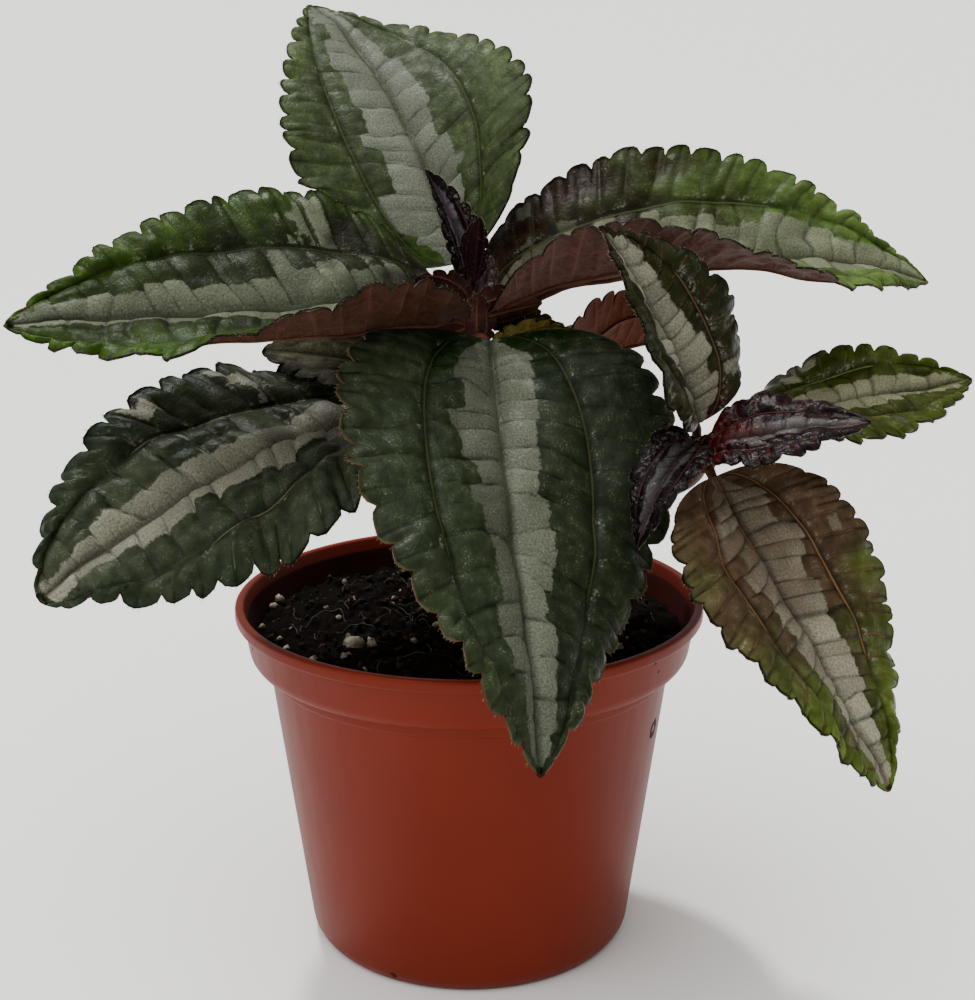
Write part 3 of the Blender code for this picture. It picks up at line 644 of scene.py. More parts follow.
def tube(route, sides):
    """Tube round a route of (x, y, z, radius), closed at both ends: points and faces.

    Each ring is centre + radius (cos a * side + sin a * top), with side and top square to the
    path and carried on from the ring before.
    """
    centre, radius = route[:, :3], route[:, 3]
    path = np.gradient(centre, axis=0)
    path /= np.linalg.norm(path, axis=1)[:, None] + 1e-12
    side = np.cross(path[0], (0.3, 0.2, 1.0) if abs(path[0][2]) < 0.9 else (1.0, 0.1, 0.0))
    sides_at = []
    for ahead in path:
        side = side - ahead * side.dot(ahead)
        side = side / np.linalg.norm(side)
        sides_at.append(side)
    side = np.array(sides_at)
    top = np.cross(path, side)
    spin = np.arange(sides) * 2 * math.pi / sides
    ring = np.cos(spin)[None, :, None] * side[:, None] + np.sin(spin)[None, :, None] * top[:, None]
    points = (centre[:, None] + radius[:, None, None] * ring).reshape(-1, 3)
    faces = grid_faces(len(route), sides, wrap=True).tolist()
    faces.append(list(range(sides))[::-1])
    faces.append(list(range((len(route) - 1) * sides, len(route) * sides)))
    return points, faces


def join(parts):
    """Several (points, faces) as one, with the corners renumbered."""
    points, faces, start = [], [], 0
    for some, corners in parts:
        points.append(some)
        faces += [[index + start for index in face] for face in corners]
        start += len(some)
    return np.vstack(points), faces


print("a straight tube has", len(tube(np.array([(0, 0, 0, 1.0), (0, 0, 9, 1.0)]), 6)[1]), "faces")

# %% [markdown]
# Fine roots and stalks that have dried lie on the soil as bent threads. Each wanders over the
# surface by a heading that changes from step to step, and arches up a little in the middle.

# %% Root threads on the soil
THREADS = 70
THREAD_POINTS = 9

threads = []
for k in range(THREADS):
    reach = (SOIL_EDGE - 4) * math.sqrt(draw.uniform(0.05, 1.0))
    spin, heading = draw.uniform(0, 2 * math.pi, 2)
    bend = draw.uniform(-0.5, 0.5)
    step = draw.uniform(0.5, 1.3)
    heading = heading + bend * np.arange(THREAD_POINTS) + draw.normal(0, 0.3, THREAD_POINTS)
    line_x = reach * math.cos(spin) + np.cumsum(np.cos(heading)) * step
    line_y = reach * math.sin(spin) + np.cumsum(np.sin(heading)) * step
    inside = np.minimum(1, (SOIL_EDGE - 1.5) / np.hypot(line_x, line_y))
    line_x, line_y = line_x * inside, line_y * inside
    lift = 0.25 + 0.5 * np.sin(np.linspace(0, math.pi, THREAD_POINTS)) * draw.uniform(0, 1.2)
    route = np.column_stack([line_x, line_y, soil_height(line_x, line_y) + lift,
                             np.full(THREAD_POINTS, draw.uniform(0.06, 0.16))])
    threads.append(tube(smooth_route(route, 2), 4))
points, corners = join(threads)
# Dried plant fibre: dull, and brown in some stretches and nearly black in others
root, tree, shader = new_material("dried_root_threads", 0.7, 1.45)
tone, _ = two_tones(tree, node(tree, "TexCoord").outputs["Object"], 8.333, ("140e0a", "382c20"),
                    (0.4, 0.65))
tree.links.new(tone, shader.inputs["Base Color"])
roots = make_piece("root_threads", points, corners, [root])
print("root threads:", THREADS)

# %% [markdown]
# ## Stem
#
# The stem is soft green tissue, flushed red-brown and covered in short hairs. It swells at each
# node, where a pair of leaves stands, and a side shoot forks off low down. Both are tubes through
# a few places with a radius at each, and the fork is hidden inside the thicker one.

# %% Stem and side shoot
# x, y, height and radius in mm
MAIN_STEM = [
    (-1, 2, 44.4, 2.5), (-1, 2, 62, 2.5), (-0.5, 2, 74, 2.3), (-0.5, 1.5, 78, 2.9), (0, 1.5, 83, 2.2),
    (0, 1, 100, 2.0), (0, 1, 104.5, 2.6), (0, 0.5, 109, 1.9), (0, 0, 115, 1.8), (0, -0.5, 118.5, 2.3),
    (0, 0, 122, 1.6), (0, 0, 124.8, 1.9), (0, 0, 127.2, 1.2),
]
SIDE_STEM = [
    (-0.5, 1.5, 77, 1.5), (5, -0.5, 79.5, 1.9), (13, -5.5, 83.5, 1.8), (23, -11, 88, 1.7),
    (32, -16.5, 92.5, 1.7), (38.5, -21.5, 97.5, 2.1), (40.5, -25.5, 101, 1.6), (40.5, -28, 104, 1.9),
    (40.5, -29.5, 105.2, 1.1),
]

# Wet tissue under a thin hairy skin: a dull sheen, and green that turns red-brown within 8 mm
flesh, tree, shader = new_material("hairy_green_stem_skin", 0.5, 1.42, 0.25)
place = node(tree, "TexCoord").outputs["Object"]
tone, _ = two_tones(tree, place, 8.333, ("343018", "401f14"), (0.38, 0.62), Detail=3.0)
tree.links.new(tone, shader.inputs["Base Color"])
skin = node(tree, "TexNoise", {"Vector": place, "Scale": grain(1.111), "Detail": 3.0})
rough_skin = node(tree, "Bump", {"Height": skin.outputs["Fac"], "Strength": 0.4, "Distance": 0.0003})
tree.links.new(rough_skin.outputs[0], shader.inputs["Normal"])

main_route = smooth_route(MAIN_STEM, 6)
side_route = smooth_route(SIDE_STEM, 6)
points, corners = join([tube(main_route, 16), tube(side_route, 14)])
stem = make_piece("stem_and_side_shoot", points, corners, [flesh])
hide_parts("stem")
print("stem rings:", len(main_route), "side shoot rings:", len(side_route))

# %% [markdown]
# ## Colours of the leaves
#
# No two leaves of this plant are coloured alike: the old ones are dark green, those in the light
# have green or bronze margins, and the young ones are purple. A look holds what differs. The
# body, the heart by the stalk, the margin, the silver, the veins, the underside and the outermost
# edge each have a colour. Most other values are the same on many leaves, so they have defaults.
# The bright green margins of leaf_left and leaf_right are partly painted light that shines through
# the thin blade.

# %% Leaf looks
DARK_EDGE, TAN_EDGE = "0c0806", "4a3c28"
# band_left, band_right: width of the silver band as a share of the half width. patches: share of
# the outer cells with a blot. heart_reach: share of the length, and cover: how far the heart
# hides the silver. margin_start: where the margin's colour starts, and ripe: 0 for along the
# margin, 1 for at the tip. shine: roughness. relief: of the quilting. The last value is painted
# light and shade: how much lighter the silver, and how much darker the other cells are left of the
# midrib.
DEFAULTS = {"edge": DARK_EDGE, "band_left": 0.3, "band_right": 0.3, "patches": 0.2, "heart_reach": 0.3,
            "cover": 0.0, "margin_start": 0.75, "ripe": 0.0, "shine": 0.42, "relief": 1.0, "tilt": 0.0}
Look = namedtuple("Look", ["seed", "body", "heart", "margin", "silver", "rib", "under", *DEFAULTS],
                  defaults=DEFAULTS.values())

BACK = Look(11, "2f3820", "2e4212", "323f1a", "5e6255", "364410", "5c5b4a", band_left=0.36,
            band_right=0.26, patches=0.06, heart_reach=0.22, relief=1.1, tilt=0.2)
# leaf_left's dark heart, with a cover of 0.8, is painted shade near the crown over its body and silver
LEFT = Look(12, "1a200c", "16120a", "283e05", "585c4a", "2e3212", "40291f", band_left=0.16,
            band_right=0.27, patches=0.28, heart_reach=0.45, cover=0.8, margin_start=0.5, ripe=0.3,
            shine=0.38, relief=1.8)
# The bright green margins of leaf_left and leaf_right are partly their own colour and partly painted
# light shining through the thin blade
RIGHT = Look(13, "1c2409", "21130a", "4a5f2a", "626650", "484e26", "543832", band_left=0.42,
             band_right=0.36, patches=0.15, heart_reach=0.75, cover=0.45, margin_start=0.38, ripe=0.9,
             relief=1.8)
FRONT = Look(14, "22291a", "0a1d02", "242c18", "505346", "363a1a", "301a14", edge=TAN_EDGE,
             band_left=0.24, band_right=0.29, patches=0.0, margin_start=0.8, shine=0.36, relief=1.7,
             tilt=0.9)
LOW = Look(15, "2e3424", "1c210b", "20291a", "706f60", "64624a", "2c1a14", band_left=0.28,
           band_right=0.25, patches=0.25, heart_reach=0.2, shine=0.3, relief=2.4)
LOW_RIGHT = Look(16, "1e1c0e", "1e180c", "1a1c0a", "44443a", "4a3a26", "4a200c", margin_start=0.7)
SMALL_LEFT = Look(17, "2a2612", "241c0e", "201c0c", "44422a", "3c3618", "3a2a18", patches=0.1,
                  margin_start=0.7, shine=0.6)
SMALL_RIGHT = Look(18, "20260e", "20200c", "1e240c", "44483a", "605c30", "585020", margin_start=0.7)
SHOOT_FRONT = Look(19, "32291a", "4a3828", "46561a", "827e6c", "805a38", "3c2418", band_left=0.34,
                   band_right=0.34, patches=0.1, heart_reach=0.7, cover=0.65, margin_start=0.5,
                   ripe=0.4, shine=0.3, relief=1.8, tilt=0.2)
SHOOT_BACK = Look(20, "1e1e0a", "281206", "1a200a", "747262", "5c4030", "3c221a", band_left=0.42,
                  band_right=0.38, patches=0.3, cover=0.2, shine=0.32, relief=1.7)
SHOOT_RIGHT = Look(21, "2a3006", "242804", "323c08", "6a6a52", "5c6024", "34241a", heart_reach=0.25,
                   margin_start=0.5, shine=0.32, relief=1.6)
CROWN = Look(22, "10060a", "1c0808", "0c0507", "544e54", "402a2e", "180a0d", band_left=0.34,
             band_right=0.34, patches=0.3, cover=0.4, margin_start=0.7, shine=0.28, relief=1.8)
YOUNG_RIGHT = Look(23, "150608", "360203", "0f0607", "4a4644", "541c18", "2c0e10", band_left=0.26,
                   band_right=0.28, patches=0.5, heart_reach=0.48, cover=0.95, margin_start=0.8,
                   shine=0.24, relief=2.5)
YOUNG_LEFT = Look(24, "0e0608", "1c0709", "0b0507", "3c3838", "3c2022", "1c0b0e", band_left=0.32,
                  band_right=0.34, patches=0.4, heart_reach=0.35, cover=0.7, margin_start=0.8,
                  shine=0.24, relief=2.5)
SCALE = Look(25, "1c0c0e", "240a0c", "12070a", "3a3036", "4c2a2c", "331c19", heart_reach=0.4,
             cover=0.5, margin_start=0.8, shine=0.36, relief=1.4)
BEHIND = Look(26, "20260e", "20200c", "1e240c", "44483a", "605c30", "645424", margin_start=0.7,
              relief=0.8)
print("values in a look:", len(Look._fields))

# %% [markdown]
# ## The shape of a leaf
#
# A leaf is a flat outline that is bent into place. It could be sculpted, but each of its bends
# has a name in botany and can be measured, so numbers say it better. The midrib is drawn by its
# compass heading and its rise, each from a value at the base to a value at the tip. At every
# point of the midrib, a half of the leaf is an arc: it leaves the midrib at a fold angle and
# bends on by a curl. So a dozen angles say how a leaf droops, cups, twists and rolls up at one
# side. The same values made the solids, so the dressed leaves lie on them.

# %% Grown leaves
# base: place in mm. heading, pitch, roll, then fold and curl of each half: degrees at the base and
# at the tip. length, width: of the flat blade in mm. shape: powers of the outline, the widest
# place is nearest to the base in the blunt one. teeth: on each margin. stands: its stem and the
# height there. stalk: radius in mm. look: its colours.
Leaf = namedtuple("Leaf", "name base heading pitch roll length width fold_left curl_left "
                  "fold_right curl_right shape teeth stands stalk look")
OVATE = (0.44, 0.88)
POINTED = (0.43, 0.76)
BLUNT = (0.44, 0.74)
LEAVES = [
    Leaf("leaf_back", (-2.5, 12.5, 130.5), (117, 128), (58, 21), (-45, 5), 75, 53,
         (20, 5), (35, -15), (25, 5), (15, 5), OVATE, 14, (MAIN_STEM, 125.2), 1.0, BACK),
    Leaf("leaf_left", (-4, -1.5, 126), (211, 194), (3, -2), (-18, -24), 80, 57,
         (-13, -8), (115, 50), (14, 16), (10, 10), OVATE, 16, (MAIN_STEM, 124.6), 1.1, LEFT),
    Leaf("leaf_right", (3.5, 0.5, 124), (4, 16), (20, -17), (3, 18), 88, 58,
         (25, 20), (5, 50), (0, 0), (85, 25), OVATE, 19, (MAIN_STEM, 124.6), 1.1, RIGHT),
    Leaf("leaf_front", (4, -10.5, 120), (-87, -79), (-24, -57), (-10, -22), 87, 61,
         (28, -8), (-5, -25), (8, 24), (8, -30), OVATE, 15, (MAIN_STEM, 118.5), 1.2, FRONT),
    Leaf("leaf_low_left", (-8, -4, 104.5), (211, 214), (2, -35), (0, -20), 80, 53,
         (20, -10), (-5, -35), (5, 20), (15, 10), BLUNT, 14, (MAIN_STEM, 104.5), 1.2, LOW),
    Leaf("leaf_low_right", (8.5, 6, 105), (28, 20), (28, 3), (12, -8), 40, 36,
         (20, 10), (-10, -10), (18, 45), (50, 65), OVATE, 10, (MAIN_STEM, 104.5), 1.1, LOW_RIGHT),
    Leaf("leaf_small_left", (-5.5, 5.5, 107), (176, 180), (25, 0), (5, -20), 35, 28,
         (18, 0), (-12, -15), (14, 20), (-20, -14), POINTED, 8, (MAIN_STEM, 106.5), 0.9, SMALL_LEFT),
    Leaf("leaf_small_right", (4.5, 0.5, 113), (6, 0), (34, 14), (-42, -42), 16.5, 15,
         (10, 5), (10, 10), (10, 10), (10, 10), POINTED, 6, (MAIN_STEM, 112.0), 0.8, SMALL_RIGHT),
    Leaf("side_leaf_front", (42, -34, 101), (-43, -32), (-50, -57), (5, 5), 60, 43,
         (22, 4), (5, 15), (10, 8), (-28, 25), POINTED, 16, (SIDE_STEM, 104.4), 1.0, SHOOT_FRONT),
    Leaf("side_leaf_back", (39.5, -30, 109.5), (181, 180), (70, 55), (-53, -27), 38, 34,
         (38, 25), (2, -12), (22, 20), (-50, 18), OVATE, 11, (SIDE_STEM, 104.6), 0.9, SHOOT_BACK),
    Leaf("side_leaf_right", (47, -22.5, 108), (20, 25), (2, 6), (0, 16), 50, 33,
         (2, 30), (-35, 12), (10, 6), (-24, -14), OVATE, 12, (SIDE_STEM, 98.8), 1.0, SHOOT_RIGHT),
]
front_leaf = LEAVES[3]         # the biggest, and the one that the cells below measure
print("grown leaves:", len(LEAVES))

# %% [markdown]
# At the top of the stem and of the side shoot stand the youngest leaves, two by two. They are
# still folded and twisted, and grown together in the bud.

# %% Young leaves
TOP = None                     # in place of a height: the stem's very end
YOUNG = {
    "crown_pair": [
        Leaf("crown_back", (-0.2, -2.4, 130.2), (177, 177), (80, 57), (-47, -30), 21, 10,
             (30, 25), (-25, -15), (45, 24), (-10, -16), POINTED, 6, (MAIN_STEM, TOP), 0.7, CROWN),
        Leaf("crown_front", (1, -3, 129.5), (-75, -65), (80, 70), (0, 0), 12.5, 7,
             (38, 30), (-25, -15), (38, 30), (-10, -16), POINTED, 5, (MAIN_STEM, TOP), 0.7, YOUNG_LEFT),
    ],
    "side_pair": [
        Leaf("side_young_right", (40.5, -38.5, 107), (-16, -11), (20, 6), (12, 6), 27, 22,
             (14, 10), (18, -4), (4, 0), (-12, -14), POINTED, 8, (SIDE_STEM, TOP), 0.8, YOUNG_RIGHT),
        Leaf("side_young_left", (38.5, -36, 107), (-120, -130), (2, -72), (-15, 15), 25, 12.5,
             (22, 12), (-8, -6), (42, -8), (12, -25), POINTED, 7, (SIDE_STEM, TOP), 0.8, YOUNG_LEFT),
    ],
}
print("young leaves:", sum(len(pair) for pair in YOUNG.values()))

# %% [markdown]
# Each growing point sits in a ruff of bud scales, dark leaves of about a centimetre. A small olive
# leaf hangs behind the others. All of these are made the way leaves are.

# %% Bud scales and the leaf behind
SCALES = {
    "crown_scales": [
        Leaf("crown_scale_right", (1.0, -2.4, 122.6), (2, 12), (16, 8), (-68, -58), 13, 11,
             (10, 5), (20, 10), (6, 4), (25, 10), POINTED, 5, (MAIN_STEM, 121.5), 0.7, SCALE),
        Leaf("crown_scale_left", (-0.4, -2.2, 125.2), (182, 178), (36, 16), (66, 52), 10.5, 10,
             (6, 4), (25, 10), (10, 5), (20, 10), POINTED, 4, (MAIN_STEM, 124), 0.7, SCALE),
        Leaf("crown_scale_low", (-0.5, -3.6, 121), (186, 192), (-12, -22), (72, 62), 8.5, 8,
             (6, 4), (25, 10), (10, 5), (20, 10), POINTED, 4, (MAIN_STEM, 120.5), 0.6, SCALE),
        Leaf("crown_scale_front", (1.4, -4.2, 117.8), (-85, -70), (88, 78), (0, 0), 10, 9,
             (34, 24), (-20, -10), (34, 24), (-10, -12), POINTED, 4, (MAIN_STEM, 118.5), 0.6, SCALE),
        Leaf("crown_scale_behind", (1.5, 2.6, 124.5), (60, 75), (70, 60), (0, 0), 10, 8,
             (30, 20), (-20, -10), (30, 20), (-10, -12), POINTED, 4, (MAIN_STEM, 123), 0.6, SCALE),
    ],
    "side_scales": [
        Leaf("side_scale_front", (40.8, -32.6, 102.6), (-80, -70), (72, 60), (0, 0), 7.5, 6.5,
             (30, 20), (-20, -10), (30, 20), (-10, -12), POINTED, 4, (SIDE_STEM, 102.5), 0.5, CROWN),
        Leaf("side_scale_left", (38.6, -31, 103.6), (-175, -165), (58, 40), (30, 20), 8.5, 7,
             (26, 16), (-20, -10), (26, 16), (-10, -12), POINTED, 4, (SIDE_STEM, 102.5), 0.5, CROWN),
        Leaf("side_scale_right", (42.4, -31.5, 104.2), (5, 10), (52, 34), (-30, -20), 8.5, 7,
             (26, 16), (-20, -10), (26, 16), (-10, -12), POINTED, 4, (SIDE_STEM, 102.5), 0.5, CROWN),
    ],
    "leaf_behind": [
        Leaf("leaf_behind", (6, 4, 118), (4, -4), (24, 0), (-76, -72), 11, 9,
             (10, 5), (10, 5), (10, 5), (10, 5), POINTED, 5, (MAIN_STEM, 113.5), 0.7, BEHIND),
    ],
}
print("scales:", sum(len(group) for group in SCALES.values()))

# %% [markdown]
# ## From flat to bent
#
# Each point of a leaf is first a pair of shares: how far along the midrib, and how far across to
# the widest margin. The outline says how wide the leaf is at an angle that runs from base to tip,
# and the bend turns a pair of shares into a place.

# %% Bending a flat outline
SETTLE = 0.86                  # share of the length after which fold and curl stay the same
MIDRIB_POINTS = 121
MARGIN_POINTS = 721
LEAST_BEND = 1e-6              # an arc can't be quite straight in the formula


def outline(leaf, turn):
    """Margin at angle turn, 0 at the base and pi at the tip: share of length, of half width.

    Along is sin^2(turn / 2), across is along^a (1 - along)^b over its own maximum.
    """
    a, b = leaf.shape
    peak = a / (a + b)
    along = np.sin(turn / 2) ** 2
    return along, along ** a * (1 - along) ** b / (peak ** a * (1 - peak) ** b)


def even_turns(leaf, shares):
    """Outline angles at which the given shares of the margin's length are passed."""
    turn = np.linspace(0, math.pi, MARGIN_POINTS)
    along, across = outline(leaf, turn)
    steps = np.hypot(np.diff(along * leaf.length), np.diff(across * leaf.width / 2))
    passed = np.concatenate([[0], np.cumsum(steps)])
    return np.interp(shares, passed / passed[-1], turn)


def blade_points(leaf, along, across, side, lift):
    """Points in mm of a flat leaf bent into place.

    The midrib is the sum of short steps in the direction of its heading and pitch. At each of
    its points a half is an arc that leaves it at the fold angle and bends on by the curl; side
    is 1 on the left of the midrib, -1 on the right; lift raises a point along the arc's normal.
    """
    t = np.linspace(0, 1, MIDRIB_POINTS)
    pitch = np.radians(np.interp(t, (0, 1), leaf.pitch))
    heading = np.radians(np.interp(t, (0, 1), leaf.heading))
    step = np.stack([np.cos(pitch) * np.cos(heading), np.cos(pitch) * np.sin(heading),
                     np.sin(pitch)], -1)
    rib = np.vstack([np.zeros(3), np.cumsum((step[1:] + step[:-1]) / 2 * (t[1] - t[0]), 0)])
    rib = rib * leaf.length + np.array(leaf.base)
    point = np.stack([np.interp(along, t, rib[:, i]) for i in range(3)], -1)
    tangent = np.stack([np.interp(along, t, step[:, i]) for i in range(3)], -1)
    turn = np.interp(along, t, heading)
    level = np.stack([-np.sin(turn), np.cos(turn), 0 * turn], -1)
    up = np.cross(tangent, level)
    roll = np.radians(np.interp(along, (0, 1), leaf.roll))[..., None]
    sideways = np.cos(roll) * level + np.sin(roll) * up
    normal = np.cos(roll) * up - np.sin(roll) * level
    share = smooth_step(0, SETTLE, along)
    left = side > 0
    fold_base = np.where(left, leaf.fold_left[0], leaf.fold_right[0])
    fold_tip = np.where(left, leaf.fold_left[1], leaf.fold_right[1])
    curl_base = np.where(left, leaf.curl_left[0], leaf.curl_right[0])
    curl_tip = np.where(left, leaf.curl_left[1], leaf.curl_right[1])
    fold = np.radians(fold_base + (fold_tip - fold_base) * share)
    bend = np.radians(curl_base + (curl_tip - curl_base) * share) / (leaf.width / 2)
    bend = np.where(np.abs(bend) < LEAST_BEND, LEAST_BEND, bend)
    angle = fold + bend * across * leaf.width / 2
    out = (np.sin(angle) - np.sin(fold)) / bend - lift * np.sin(angle)
    rise = (np.cos(fold) - np.cos(angle)) / bend + lift * np.cos(angle)
    return point + side[..., None] * out[..., None] * sideways + rise[..., None] * normal


print("width at half length:", round(float(outline(front_leaf, math.pi / 2)[1]), 2), "of the widest")

# %% [markdown]
# ## Rows that follow the veins
#
# Three main veins run from base to tip: the midrib and one lateral vein in each half, midway to
# the margin. Cross veins join them like rungs, and from the lateral vein a branch runs on to each
# tooth. A texture could draw these veins on any grid, but then colours that stop at a vein would
# have stepped edges. So the grid's rows follow the rungs and branches: a crease between two
# bulges falls exactly on a row, and colours stop sharply.

# %% Toothed margin
ROWS_PER_TOOTH = 8
COLUMNS = 28                   # in each half; the lateral vein is the middle one
FOOT_ROWS, TIP_ROWS = 10, 2    # beside the stalk and past the last tooth
SMOOTH_FOOT = 0.17             # share of the margin beside the stalk that has no teeth
SMOOTH_TIP = 0.03
TOOTH_DEPTH = 0.42             # of its spacing
TOOTH_LIMIT = (0.28, 0.02)     # of the half width that it may take: share of across, and more
TOOTH_GROWTH = 0.14            # share of the margin over which teeth reach their full depth
TOOTH_CHANCE = (0.85, 0.3)     # least depth of a tooth, and what chance adds
TOOTH_POINT = 0.64             # where in a tooth its point stands
MARGIN_LONGER = 1.15           # length of a margin for 1 of midrib
OTHER_SIDE = 3 / ROWS_PER_TOOTH    # of a tooth that the right margin is ahead of the left


def toothed_margin(leaf, passed, cut):
    """Margin at shares of its length, moved in square to it by the depth of the teeth."""
    turn = even_turns(leaf, passed)
    along, across = outline(leaf, turn)
    ahead, wider = outline(leaf, np.minimum(turn + 0.001, math.pi))
    run, out = (ahead - along) * leaf.length, (wider - across) * leaf.width / 2
    size = np.hypot(run, out) + 1e-12
    spacing = (1 - SMOOTH_FOOT - SMOOTH_TIP) / leaf.teeth * MARGIN_LONGER * leaf.length
    most = (TOOTH_LIMIT[0] * across + TOOTH_LIMIT[1]) * leaf.width / 2
    depth = cut * np.minimum(TOOTH_DEPTH * spacing, most)
    depth = depth * np.clip((passed - SMOOTH_FOOT) / TOOTH_GROWTH, 0.1, 1)
    return along + depth * out / size / leaf.length, across - depth * run / size / (leaf.width / 2)


def tooth_cut(tooth, seed):
    """Depth of the margin below the teeth's points, 0 to about 1.

    A tooth rises from its notch as the root of a sine, up to its point, and drops steeply from
    there to the next notch as the root of a cosine. Its depth is drawn for each tooth.
    """
    phase = tooth - np.floor(tooth)
    rise = np.sin(math.pi / 2 * np.minimum(phase / TOOTH_POINT, 1)) ** 0.5
    drop = np.cos(math.pi / 2 * np.clip((phase - TOOTH_POINT) / (1 - TOOTH_POINT), 0, 1)) ** 0.5
    chance = lattice_random(np.floor(tooth - 0.5), 0 * tooth, seed)
    return (1 - rise * drop) * (TOOTH_CHANCE[0] + TOOTH_CHANCE[1] * chance)


def uneven(tooth, teeth, seed):
    """Teeth of uneven width: two slow waves added to the tooth count, none at the ends."""
    wave = 0.12 * np.sin(2.3 * tooth + seed) + 0.04 * np.sin(5.1 * tooth + 2 * seed)
    return tooth + wave * np.clip(tooth / 2, 0, 1) * np.clip((teeth - tooth) / 2, 0, 1)


def leaf_rows(leaf):
    """Count of teeth at the rows, from just after the base to just before the tip.

    It is below 0 beside the stalk and above the number of teeth by the tip.
    """
    toothed = np.arange(leaf.teeth * ROWS_PER_TOOTH + 1) / ROWS_PER_TOOTH
    to_share = (1 - SMOOTH_FOOT - SMOOTH_TIP) / leaf.teeth
    foot = -np.linspace(SMOOTH_FOOT, 0, FOOT_ROWS + 2)[1:-1] / to_share
    tip = leaf.teeth + np.linspace(0, SMOOTH_TIP, TIP_ROWS + 2)[1:-1] / to_share
    return np.concatenate([foot, toothed, tip])


print("rows of leaf_front:", len(leaf_rows(front_leaf)), "columns:", 2 * COLUMNS + 1)

# %% Flat grid of a leaf
LATERAL = (0.46, 0.28)         # share across of the lateral vein at the base, and what it gains
BOW = 0.2                      # of the length that a rung bows forward


def flat_grid(leaf):
    """The flat leaf on its grid of rows and columns, as named arrays.

    A row leaves the midrib at vein_along, crosses the lateral vein at vein_reach and ends on the
    toothed margin. within and outer run from 0 to 1 inside and outside the lateral vein, and the
    place is the straight line between those three, bowed forward within. In the stretch beside
    the stalk, rows are packed by the square of the margin that is passed.
    """
    seed = leaf.look.seed
    tooth = leaf_rows(leaf)[:, None]
    column = np.arange(-COLUMNS, COLUMNS + 1)[None, :] / COLUMNS
    side = np.where(column >= 0, 1.0, -1.0) + 0 * tooth
    left = (side > 0).astype(float)
    share = np.abs(column) + 0 * tooth
    tooth = tooth + 0 * column
    to_share = (1 - SMOOTH_FOOT - SMOOTH_TIP) / leaf.teeth
    passed = SMOOTH_FOOT + tooth * to_share
    margin_tooth = tooth + (1 - left) * OTHER_SIDE
    cut = np.where((tooth > 0) & (tooth < leaf.teeth), tooth_cut(margin_tooth, seed), 0.0)
    margin_passed = SMOOTH_FOOT + uneven(tooth, leaf.teeth, seed + 3 * left) * to_share
    end_along, end_across = toothed_margin(leaf, np.clip(margin_passed, 0, 1), cut)
    double = 2 * SMOOTH_FOOT
    vein_along = np.where(passed < double, passed ** 2 / (2 * double * (1 - SMOOTH_FOOT)),
                          (passed - SMOOTH_FOOT) / (1 - SMOOTH_FOOT))
    vein_along = np.minimum(vein_along, end_along.max())
    a, b = leaf.shape
    peak = a / (a + b)
    lateral = LATERAL[0] + LATERAL[1] * vein_along ** 2
    vein_reach = lateral * vein_along ** a * (1 - vein_along) ** b / (peak ** a * (1 - peak) ** b)
    within = np.minimum(share * 2, 1)
    outer = np.clip(share * 2 - 1, 0, 1)
    forward = BOW * vein_along * (1 - vein_along)
    along = vein_along - forward * (1 - within) + (end_along - vein_along) * outer
    across = vein_reach * within + (end_across - vein_reach) * outer
    edge = np.hypot((end_along - along) * leaf.length, (end_across - across) * (leaf.width / 2))
    return SimpleNamespace(
        tooth=tooth, margin_tooth=margin_tooth, side=side, left=left, share=share, within=within,
        outer=outer, inner=share <= 0.5, vein_along=vein_along, vein_reach=vein_reach,
        end_across=end_across, along=along, across=across, reach=across * (leaf.width / 2), edge=edge)


front_grid = flat_grid(front_leaf)
print("half width of leaf_front:", round(float(front_grid.reach.max()), 1), "mm")

# %% [markdown]
# Between the veins the leaf is divided into cells, and many things go by the cell: how high it
# bulges, how light it is, and where the silver stops. So each cell gets a number of its own from
# the fixed random numbers. Every use of noise adds a different small number to the leaf's seed.

# %% Cells between the veins
VEIN_PHASE = 0.62              # where in a tooth its vein ends
CROSS_SHIFT = (0.12, 0.5)      # of the inner cross veins, right and left of the midrib


def add_cells(leaf, grid):
    """Add the cells to a grid: between two rungs inside the lateral vein, two branches outside.

    A count of veins passed rises along the leaf: its whole part numbers the cell and the rest,
    step, runs from 0 to 1 over it. cross, notch: mm to the nearest cross vein and notch.
    """
    seed = leaf.look.seed
    pitch = leaf.length * (1 - SMOOTH_TIP) / leaf.teeth
    sway = value_noise(grid.share * 4 + 30 * grid.left, grid.tooth * 0.8, seed + 4) - 0.5
    rungs = (uneven(grid.tooth, leaf.teeth, seed + 8 * grid.left)
             - np.where(grid.left > 0, CROSS_SHIFT[1], CROSS_SHIFT[0]) + 0.7 * sway)
    branches = (grid.tooth - VEIN_PHASE + (1 - grid.left) * OTHER_SIDE
                + 0.5 * sway * (1 - grid.outer))
    count = np.where(grid.inner, rungs, branches)
    grid.cell = np.floor(count)
    grid.step = count - grid.cell
    grid.band = np.where(grid.inner, 0, 1) + 2 * grid.left
    grid.random = lattice_random(grid.cell, grid.band, seed)
    grid.cross = np.minimum(grid.step, 1 - grid.step) * pitch * 0.8
    grid.notch = np.abs(grid.margin_tooth - np.round(grid.margin_tooth)) * pitch * 0.8


add_cells(front_leaf, front_grid)
print("numbers of the first cells:", front_grid.random[10:90:16, COLUMNS + 5].round(2))

# %% [markdown]
# Quilting is what makes this leaf: the skin grows faster than the veins and has to bulge. A bump
# map would give the shading but not the outline or the shadows, so the bulges are real height.

